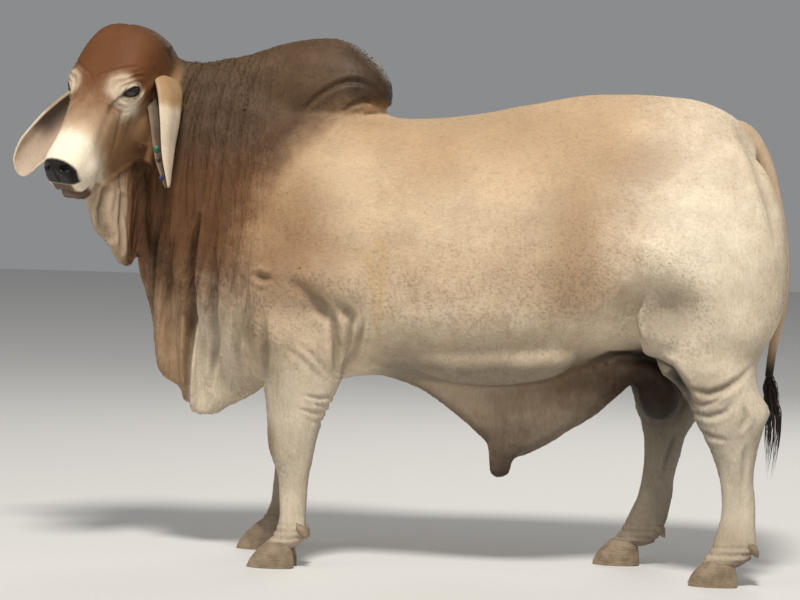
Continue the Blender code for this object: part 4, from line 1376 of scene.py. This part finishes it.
def coat(hide, material, masks, head, shade, unwrap):
    """Tufts over the whole hide, small on face and feet, longer where hair breaks the form."""
    rng = np.random.default_rng(11)
    points, normals = points_of(hide.data), points_of(hide.data, "normal")
    quads = quads_of(hide.data)
    corners = points[quads]
    area = np.linalg.norm(np.cross(corners[:, 2] - corners[:, 0], corners[:, 3] - corners[:, 1]), axis=1) / 2
    bald = np.clip(masks["black"] * 1.3 + masks["bare"], 0, 1)
    density = (1 + 1.6 * head + 0.8 * (1 - ramp(points[:, 2], 0.45, 0.6))) * (1 - bald)
    weight = area * density[quads].mean(axis=1)
    picks = rng.choice(len(quads), size=TUFTS, p=weight / weight.sum())
    a, b = rng.random(TUFTS)[:, None], rng.random(TUFTS)[:, None]
    share = np.stack([(1 - a) * (1 - b), a * (1 - b), a * b, (1 - a) * b], axis=1)

    def at_roots(values):
        values = values[quads[picks]]
        return (values * (share if values.ndim == 3 else share[..., 0])).sum(axis=1)

    roots, ups, on_head = at_roots(points), at_roots(normals), at_roots(head)
    ups /= np.linalg.norm(ups, axis=1, keepdims=True)
    feet = 1 - ramp(roots[:, 2], 0.15, 0.5)
    size = (1 - 0.58 * on_head) * (1 - 0.4 * feet) * rng.uniform(0.7, 1.3, TUFTS)
    crest = blob(roots, (-0.7, 0, 1.66), (0.14, 0.05, 0.07))
    size *= 1 + 0.8 * crest
    lift = 0.0007 * size * rng.uniform(0.3, 1.6, TUFTS) + 0.004 * crest
    lie = lie_direction(roots, on_head)
    fields = {"m_" + key: at_roots(masks[key]) for key in MASKS}
    fields["hang"] = hang_share(roots)
    fields["wrinkle"] = np.zeros(TUFTS)
    # painted shade of the hide at each root, with a little random tone
    fields["shade"] = at_roots(shade) + rng.normal(0, 0.03, TUFTS)
    spots = unwrapped(roots, unwrap)
    pieces = math.ceil(TUFTS * len(SPINDLE) / PIECE_TRIANGLES)
    for k, part in enumerate(np.array_split(np.argsort(roots[:, 0]), pieces)):
        piece = tufts(
            "coat_%02d" % k, roots[part], ups[part], lie[part], TUFT_LENGTH * size[part],
            TUFT_WIDTH * size[part], lift[part], {n: v[part] for n, v in fields.items()}, spots[part], rng,
        )
        dress(piece, material)


def ear_point(side, share, sweep, lift):
    """Point of the cup: sweep from -1 to 1 across it, lift out from its middle sheet."""
    line = between_rows(EAR_LINE[side], 8)
    place = share * (len(line) - 1)
    k = min(int(place), len(line) - 2)
    spot = Vector(line[k]).lerp(Vector(line[k + 1]), place - k)
    step = Vector(line[k + 1] - line[k]).normalized()
    mouth = EAR_MOUTH[side]
    mouth = (mouth - step * mouth.dot(step)).normalized()
    across = step.cross(mouth)
    fullness = float(np.interp(share, *np.array(EAR_TAPER[side]).T))
    half, depth = EAR_WIDTH[side] / 2 * fullness, EAR_DEPTH[side] * fullness
    angle = math.pi / 2 * sweep
    reach = (half + lift) * math.sin(angle)
    far = EAR_FAR_WALL[side] * max(0.0, sweep * (1 if across.y > 0 else -1)) ** 2 * fullness**0.5
    return spot + across * reach + mouth * (depth * 0.5 + far - (depth + lift) * math.cos(angle))


def ear(side, material):
    """A long hanging cup with rounded rims and soft ridges inside."""
    rings = []
    around = EAR_SWEEPS * 2
    for k in range(EAR_STATIONS):
        share = k / (EAR_STATIONS - 1)
        half = EAR_THICKNESS * (1.0 - 0.5 * share)
        ring = []
        for i in range(around):
            turn = 2 * math.pi * (i + 0.5) / around
            sweep = -math.cos(turn)
            lift = half * min(1.0, abs(math.sin(turn)) * 5) * (1 if turn < math.pi else -1)
            if turn > math.pi:
                lift += 0.0035 * math.cos(sweep * 7 + 2 * share) * (1 - share) * (1 - abs(sweep))
            ring.append(ear_point(side, share, sweep, lift))
        rings.append(ring)
    made = lofted("ear_hide_" + side, rings, 0.1)
    points = points_of(made.data)
    index = np.minimum(np.arange(len(points)), EAR_STATIONS * around - 1)
    share = (index // around) / (EAR_STATIONS - 1) + 0.015 * smooth_noise(points, 0.05, 51)
    turn = 2 * math.pi * (index % around + 0.5) / around
    sweep = -np.cos(turn)
    inside = ramp(-np.sin(turn), 0.0, 0.25)
    rim = ramp(np.abs(sweep), 0.86, 0.97)
    rooted = 1 - ramp(share, 0.38, 0.47)
    # less cream on the far half of the left ear's flap: painted shade
    flap = ramp(sweep, 0.0, 0.5) * (side == "left")
    masks = {
        "tan": union(rooted * 0.66, 0.1 * (1 - rooted)) * (1 - inside),
        "stain": 0.12 * rooted * (1 - inside),
        "cream": union(0.7 * (1 - rooted), 0.3 * inside, 0.6 * rim) * (1 - 0.75 * flap),
    }
    if side == "left":
        # dark inside the left ear's flap: painted shade
        deep = inside * (1 - 0.3 * rim)
        masks["umber"] = union(0.36 * (1 - inside) * ramp(sweep, -0.85, -0.55), 0.85 * deep)
        masks["black"] = 0.45 * deep
    else:
        # dark deep in the right ear's hollow and at its root: painted shade
        hollow = inside * (1 - rim)
        deep = hollow * ramp(sweep, -0.2, 0.4) * (1 - ramp(share, 0.46, 0.64))
        masks["pink"] = 0.6 * hollow
        masks["umber"] = union(0.12 * inside, 0.8 * deep)
        masks["red"] = 0.3 * hollow * (1 - ramp(share, 0.55, 0.8))
        masks["black"] = union(0.72 * deep, 0.8 * inside * (1 - ramp(share, 0.1, 0.25)))
    mark(made.data, masks, 1.0, 0.15)
    dress(made, material)
    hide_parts("ear_" + side)


def eye_material():
    t = Tree("eye_wet")
    iris = t.value_range(t.noise(260.0, 3.0), 0.3, 0.7)
    return t.surface({
        "Roughness": 0.1, "Specular IOR Level": 0.3, "Coat Weight": 0.6, "Coat Roughness": 0.05,
        "Base Color": t.mix(iris, rgba("black"), rgba("eye", 2.0)),
    })


def eyes(tree, centres, hide_material, wet):
    for name, side in (("left", 1), ("right", -1)):
        bm = bmesh.new()
        bmesh.ops.create_uvsphere(bm, u_segments=48, v_segments=32, radius=EYE_RADIUS)
        bmesh.ops.translate(bm, verts=bm.verts, vec=centres[side])
        ball_ = add_object("eyeball_" + name, bm)
        dress(ball_, wet)
        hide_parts("eye_" + name)
        lids(name, side, tree, centres[side], hide_material)


def lids(name, side, tree, centre, material):
    """Skin from the almond edge of the lids, over the ball, out onto the hide round the socket."""
    f, _, d = HEAD_AXES
    front = gaze(side)
    rear_corner = (-f * 0.9 - d * 0.42)
    rear_corner = (rear_corner - front * rear_corner.dot(front)).normalized()
    upper = front.cross(rear_corner)
    if upper.dot(d) < 0:
        upper = -upper
    bm = bmesh.new()
    layers = []
    for k in range(LID_STEPS):
        t = k / (LID_STEPS - 1)
        layer = []
        for i in range(LID_AROUND):
            turn = 2 * math.pi * i / LID_AROUND
            c, s = math.cos(turn), math.sin(turn)
            high = 0.6 if s > 0 else 0.42
            theta = 1 / math.sqrt((c / 1.1) ** 2 + (s / high) ** 2) * (1 + 0.2 * max(0.0, -c) ** 8)
            radial = rear_corner * c + upper * s
            edge = math.sin(min(theta, 1.35)) * EYE_RADIUS
            reach = edge + (LID_REACH - edge) * max(0.0, t - 0.08) / 0.92
            swell = 1.07 + (0.06 if s > 0 else 0.02) * math.sin(math.pi * min(1.0, t * 2))
            shell = EYE_RADIUS * (1.01 if k == 0 else swell)
            over_ball = centre + radial * reach + front * math.sqrt(max(shell**2 - reach**2, 0.0))
            on_skin = on_hide(tree, centre + radial * reach, front) - front * COAT_DEPTH
            blend = min(1.0, max(0.0, (t - 0.1) / 0.6))
            blend = blend * blend * (3 - 2 * blend)
            spot = over_ball.lerp(on_skin, blend) - front * (0.0025 * max(0.0, t - 0.8) / 0.2)
            layer.append(bm.verts.new(spot))
        layers.append(layer)
    walls(bm, layers)
    bmesh.ops.recalc_face_normals(bm, faces=bm.faces)
    if sum((face.normal.dot(front) for face in bm.faces)) < 0:
        bmesh.ops.reverse_faces(bm, faces=bm.faces)
    made = add_object("lids_" + name, bm)
    points = points_of(made.data)
    t = (np.arange(len(points)) // LID_AROUND) / (LID_STEPS - 1)
    masks, _ = markings(points)
    over = ramp((points - np.array(centre)) @ np.array(upper), -0.004, 0.006)
    masks["black"] = union(masks["black"], 1 - ramp(t, 0.06 + 0.06 * over, 0.2 + 0.16 * over))
    mark(made.data, masks, 0.0, 0.03)
    dress(made, material)


def claw(name, rows, sign, material):
    """One claw of a hoof: level rings, growth rings on its wall, toes curving together."""
    def spot(c, s, z, front, back, y, half):
        groove = 0.0005 * math.sin(z * 2 * math.pi / 0.009)
        toe = max(0.0, -c) ** 3
        x = (front + back) / 2 + (back - front) / 2 * c - groove * c
        return x, y + (half + groove) * s * (1 - 0.22 * toe) - sign * 0.006 * toe, z

    bm = bmesh.new()
    layers = [[bm.verts.new(p) for p in ring] for ring in rings_of(between_rows(rows, 10), 40, 2.4, spot)]
    walls(bm, layers)
    bm.faces.new(layers[0])
    bm.faces.new(layers[-1])
    bmesh.ops.recalc_face_normals(bm, faces=bm.faces)
    made = add_object(name + "_horn", bm)
    dress(made, material)
    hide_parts(name)


def hoof_material():
    t = Tree("hoof_horn")
    layers = t.noise(1.0, 3.0, stretch=(25, 25, 420))
    fibre = t.noise(1.0, 3.0, stretch=(500, 500, 30))
    dust = t.value_range(t.noise(30.0, 5.0), 0.3, 0.7, 0.1, 0.45)
    colour = t.mix(t.value_range(layers, 0.35, 0.65), rgba("hoof"), rgba("hoof_dark"))
    return t.surface({
        "Base Color": t.mix(dust, colour, rgba("sand", 0.75)), "Roughness": 0.62,
        "Normal": t.bump(fibre, 0.4, 0.001, t.bump(layers, 0.6, 0.0016)),
    })


def hooves(material):
    """Two claws to a foot and two dewclaws behind the fetlock."""
    for leg, (fx, fy) in FEET.items():
        for side, sign in (("outer", -1), ("inner", 1)):
            y = fy + sign * CLAW_SPACING
            rows = (
                (0.0, fx - TOE_REACH, fx + 0.066, y, 0.0305),
                (0.026, fx - 0.078, fx + 0.066, y, 0.03),
                (0.054, fx - 0.056, fx + 0.06, y - sign * 0.001, 0.028),
                (CLAW_HEIGHT, fx - 0.028, fx + 0.048, y - sign * 0.003, 0.0215),
            )
            claw("hoof_%s_%s" % (leg, side), rows, sign, material)

            def spot(c, s, reach, radius):
                middle = Vector((heel(leg) + reach, fy + sign * 0.027, DEWCLAW_HEIGHT - reach * 0.8))
                return middle + Vector((0, radius * c, radius * s))

            name = "dewclaw_%s_%s" % (leg, side)
            made = lofted(name + "_horn", rings_of(between_rows(DEWCLAW, 4), 24, 2, spot))
            dress(made, material)
            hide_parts(name)


def tail(material, hair):
    """The dock and its tassel of long hair."""
    def spot(c, s, x, z, radius, ax, az):
        out = Vector((-az, 0.0, ax)).normalized()
        return Vector((x, 0, z)) + out * radius * c + Vector((0, radius * s, 0))

    rows = between_rows(TAIL, 8)
    rows = np.hstack([rows, np.gradient(rows[:, :2], axis=0)])
    made = lofted("tail_hide", rings_of(rows, 28, 2, spot), 0.2)
    low = 1 - ramp(points_of(made.data)[:, 2], 0.66, 0.78)
    mark(made.data, {"tan": 0.25, "cream": 0.35, "black": low}, 1.0, 0.3)
    dress(made, material)
    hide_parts("tail")
    switch(hair)


def strand_mesh(name, lines, radii):
    """Closed tapered tubes along lines of points, joined into one mesh."""
    bm = bmesh.new()
    edge = [oval(2 * math.pi * i / STRAND_SIDES, 2) for i in range(STRAND_SIDES)]
    for line, radius in zip(lines, radii):
        rings = []
        for k, spot in enumerate(line):
            t = k / (len(line) - 1)
            ahead = (line[min(k + 1, len(line) - 1)] - line[max(k - 1, 0)]).normalized()
            one = ahead.orthogonal().normalized()
            two = ahead.cross(one)
            r = radius * (0.35 + 0.65 * math.sin(math.pi * min(1.0, t * 0.8 + 0.25))) * (1 - 0.85 * t**3)
            rings.append([spot + one * r * c + two * r * s for c, s in edge])
        loft(bm, rings, bulge=0.5)
    return add_object(name, bm)


def switch(hair):
    rng = np.random.default_rng(7)
    middle_line = between_rows(SWITCH_LINE, 8)
    lines, radii = [], []
    for _ in range(SWITCH_STRANDS):
        around = rng.uniform(0, 2 * math.pi)
        start = 0.02 + 0.45 * rng.random() ** 1.3
        end = min(0.995, start + rng.uniform(0.35, 0.62))
        spread = 0.01 + 0.014 * rng.random()
        wave = rng.uniform(0, 2 * math.pi)
        line = []
        for t in (k / 11 for k in range(12)):
            place = (start + (end - start) * t) * (len(middle_line) - 1)
            i = min(int(place), len(middle_line) - 2)
            x, z = middle_line[i] + (middle_line[i + 1] - middle_line[i]) * (place - i)
            reach = 0.008 + spread * math.sin(math.pi * min(1.0, t * 0.85)) * (1 - 0.35 * t)
            sway = 0.0035 * math.sin(wave + 6 * t)
            y = reach * 0.85 * math.sin(around) + sway * 0.6
            line.append(Vector((x + reach * math.cos(around) + sway, y, z)))
        lines.append(line)
        radii.append(rng.uniform(0.0014, 0.0028))
    made = strand_mesh("tail_strands", lines, radii)
    dress(made, hair)
    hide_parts("tail_switch")


def hair_material():
    t = Tree("long_black_hair")
    strand = t.noise(1.0, 3.0, stretch=(500, 500, 18))
    return t.surface({
        "Base Color": t.mix(t.value_range(strand, 0.35, 0.7), rgba("black"), rgba("bare", 0.6)),
        "Roughness": 0.45, "Normal": t.bump(strand, 0.6, 0.001),
    })


def plastic(name, colour):
    t = Tree(name)
    wear = t.noise(160.0, 4.0)
    worn = tuple(c * 0.6 + 0.08 for c in colour)
    return t.surface({
        "Base Color": t.mix(t.value_range(wear, 0.45, 0.75), (*colour, 1.0), (*worn, 1.0)),
        "Roughness": 0.42, "Normal": t.bump(wear, 0.3, 0.0006),
    })


def buttons():
    """Round blank tags on the inner flap of the left ear."""
    for name, share, sweep, radius, colour in TAGS:
        spot = ear_point("left", share, sweep, TAG_LIFT)
        inner = ear_point("left", share, sweep - 0.08, TAG_LIFT)
        across = (inner - ear_point("left", share, sweep + 0.02, TAG_LIFT)).normalized()
        down = (ear_point("left", share + 0.03, sweep, TAG_LIFT) - spot).normalized()
        out = across.cross(down).normalized()
        if out.y > 0:
            out = -out
        down = out.cross(across)

        def rim(c, s, lift, size):
            return spot + out * lift + (across * c + down * s) * radius * size

        made = lofted(name + "_button", rings_of(BUTTON, 28, 2, rim), 0.1)
        dress(made, plastic("plastic_" + name, colour))
        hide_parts(name)


def carried_nodes(horn):
    """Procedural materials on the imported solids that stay."""
    for name in ("horn_left", "horn_right"):
        for slot in frame["nodes"][name].material_slots:
            slot.material = horn


def horn_material():
    t = Tree("horn_grey")
    layers = t.noise(180.0, 4.0)
    return t.surface({
        "Base Color": t.mix(t.value_range(layers, 0.3, 0.7), rgba("horn"), rgba("hoof_dark")),
        "Roughness": 0.6, "Normal": t.bump(layers, 0.5, 0.001),
    })


def shift_of():
    """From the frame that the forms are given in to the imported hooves."""
    low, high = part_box("hoof_hindleg_left_outer")
    fx, fy = FEET["hindleg_left"]
    return Vector((low[0] - (fx - TOE_REACH), (low[1] + high[1]) / 2 - (fy - CLAW_SPACING), 0.0))


def place_camera(shift):
    turn, pitch, roll = (math.radians(a) for a in (CAMERA_TURN, CAMERA_PITCH, CAMERA_ROLL))
    ahead = Vector((-math.sin(turn), math.cos(turn), 0.0)) * math.cos(pitch)
    ahead.z = -math.sin(pitch)
    right = Vector((math.cos(turn), math.sin(turn), 0.0))
    up = right.cross(ahead)
    right, up = right * math.cos(roll) + up * math.sin(roll), up * math.cos(roll) - right * math.sin(roll)
    lens = bpy.data.cameras.new("view")
    lens.lens = CAMERA_LENS
    lens.sensor_width = 36.0
    camera = link("view", lens)
    camera.matrix_world = Matrix((right, up, -ahead)).transposed().to_4x4()
    camera.location = shift + Vector((
        math.sin(turn) * CAMERA_DISTANCE, -math.cos(turn) * CAMERA_DISTANCE, CAMERA_HEIGHT,
    ))
    bpy.context.scene.camera = camera


def studio():
    """Pale floor, a soft key high behind the camera, a weak fill, a back light and a pale sky."""
    bm = bmesh.new()
    bmesh.ops.create_grid(bm, x_segments=1, y_segments=1, size=30.0)
    floor = add_object("floor", bm)
    t = Tree("pale_floor")
    speck = t.value_range(t.noise(40.0, 4.0), 0.3, 0.7)
    colour = t.mix(speck, rgba("floor"), rgba("floor", 0.97))
    floor.data.materials.append(t.surface({"Base Color": colour, "Roughness": 0.85}))
    lamp("key", (0.6, -8.2, 13.2), (0, 0, 0.9), 3.0, 2120.0)
    lamp("fill", (-5.5, -3.5, 2.6), (0, 0, 0.9), 3.5, 40.0)
    lamp("back", (1.5, 5.0, 4.5), (0, 0, 1.0), 4.0, 90.0)
    world = bpy.data.worlds.new("studio")
    world.use_nodes = True
    sky = world.node_tree.nodes["Background"]
    sky.inputs[0].default_value = (0.95, 0.97, 1.0, 1.0)
    sky.inputs[1].default_value = 0.27
    bpy.context.scene.world = world
    bpy.context.scene.view_settings.view_transform = "Standard"


def lamp(name, place, target, size, watts):
    light = bpy.data.lights.new(name, "AREA")
    light.shape = "DISK"
    light.size = size
    light.energy = watts
    light.color = (1.0, 0.965, 0.91)
    thing = link(name, light)
    thing.location = place
    thing.rotation_mode = "QUATERNION"
    thing.rotation_quaternion = (Vector(target) - Vector(place)).to_track_quat("-Z", "Y")


FLESH_NODES = (
    "head", "neck", "hump", "torso", "dewlap", "sheath", "scrotum",
    "foreleg_left", "foreleg_right", "hindleg_left", "hindleg_right",
)


def main():
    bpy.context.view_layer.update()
    shift = shift_of()
    place_camera(shift)
    studio()
    hide = flesh()
    # painted shade in the folds of body and face
    shade = sculpt_body(hide) + sculpt_head(hide)
    tree = hide_tree(hide)
    centres = {side: eye_centre(tree, side) for side in (1, -1)}
    sink_sockets(hide, centres)
    set_points(hide.data, points_of(hide.data) - points_of(hide.data, "normal") * COAT_DEPTH)
    points = points_of(hide.data)
    masks, head = markings(points)
    mark(hide.data, masks, hang_share(points), wrinkle_share(points, head))
    # painted shade under the body, between the legs and in the hollows; the head's cream a little lighter
    shade = shade + soft_shade(points, points_of(hide.data, "normal")) + 0.14 * head * masks["cream"] ** 2
    scalar(hide.data, "shade", shade)
    skin = coat_material("short_coat", 0.22)
    dress(hide, skin)
    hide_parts(*FLESH_NODES)
    coat(hide, skin, masks, head, shade, unwrap_of(hide))
    for side in EAR_LINE:
        ear(side, skin)
    eyes(tree, centres, skin, eye_material())
    hooves(hoof_material())
    tail(skin, hair_material())
    buttons()
    carried_nodes(horn_material())
    carried = set(frame["nodes"].values())
    for thing in bpy.context.scene.objects:
        if thing.type == "MESH" and thing not in carried and thing.name != "floor":
            thing.data.transform(Matrix.Translation(shift))


main()
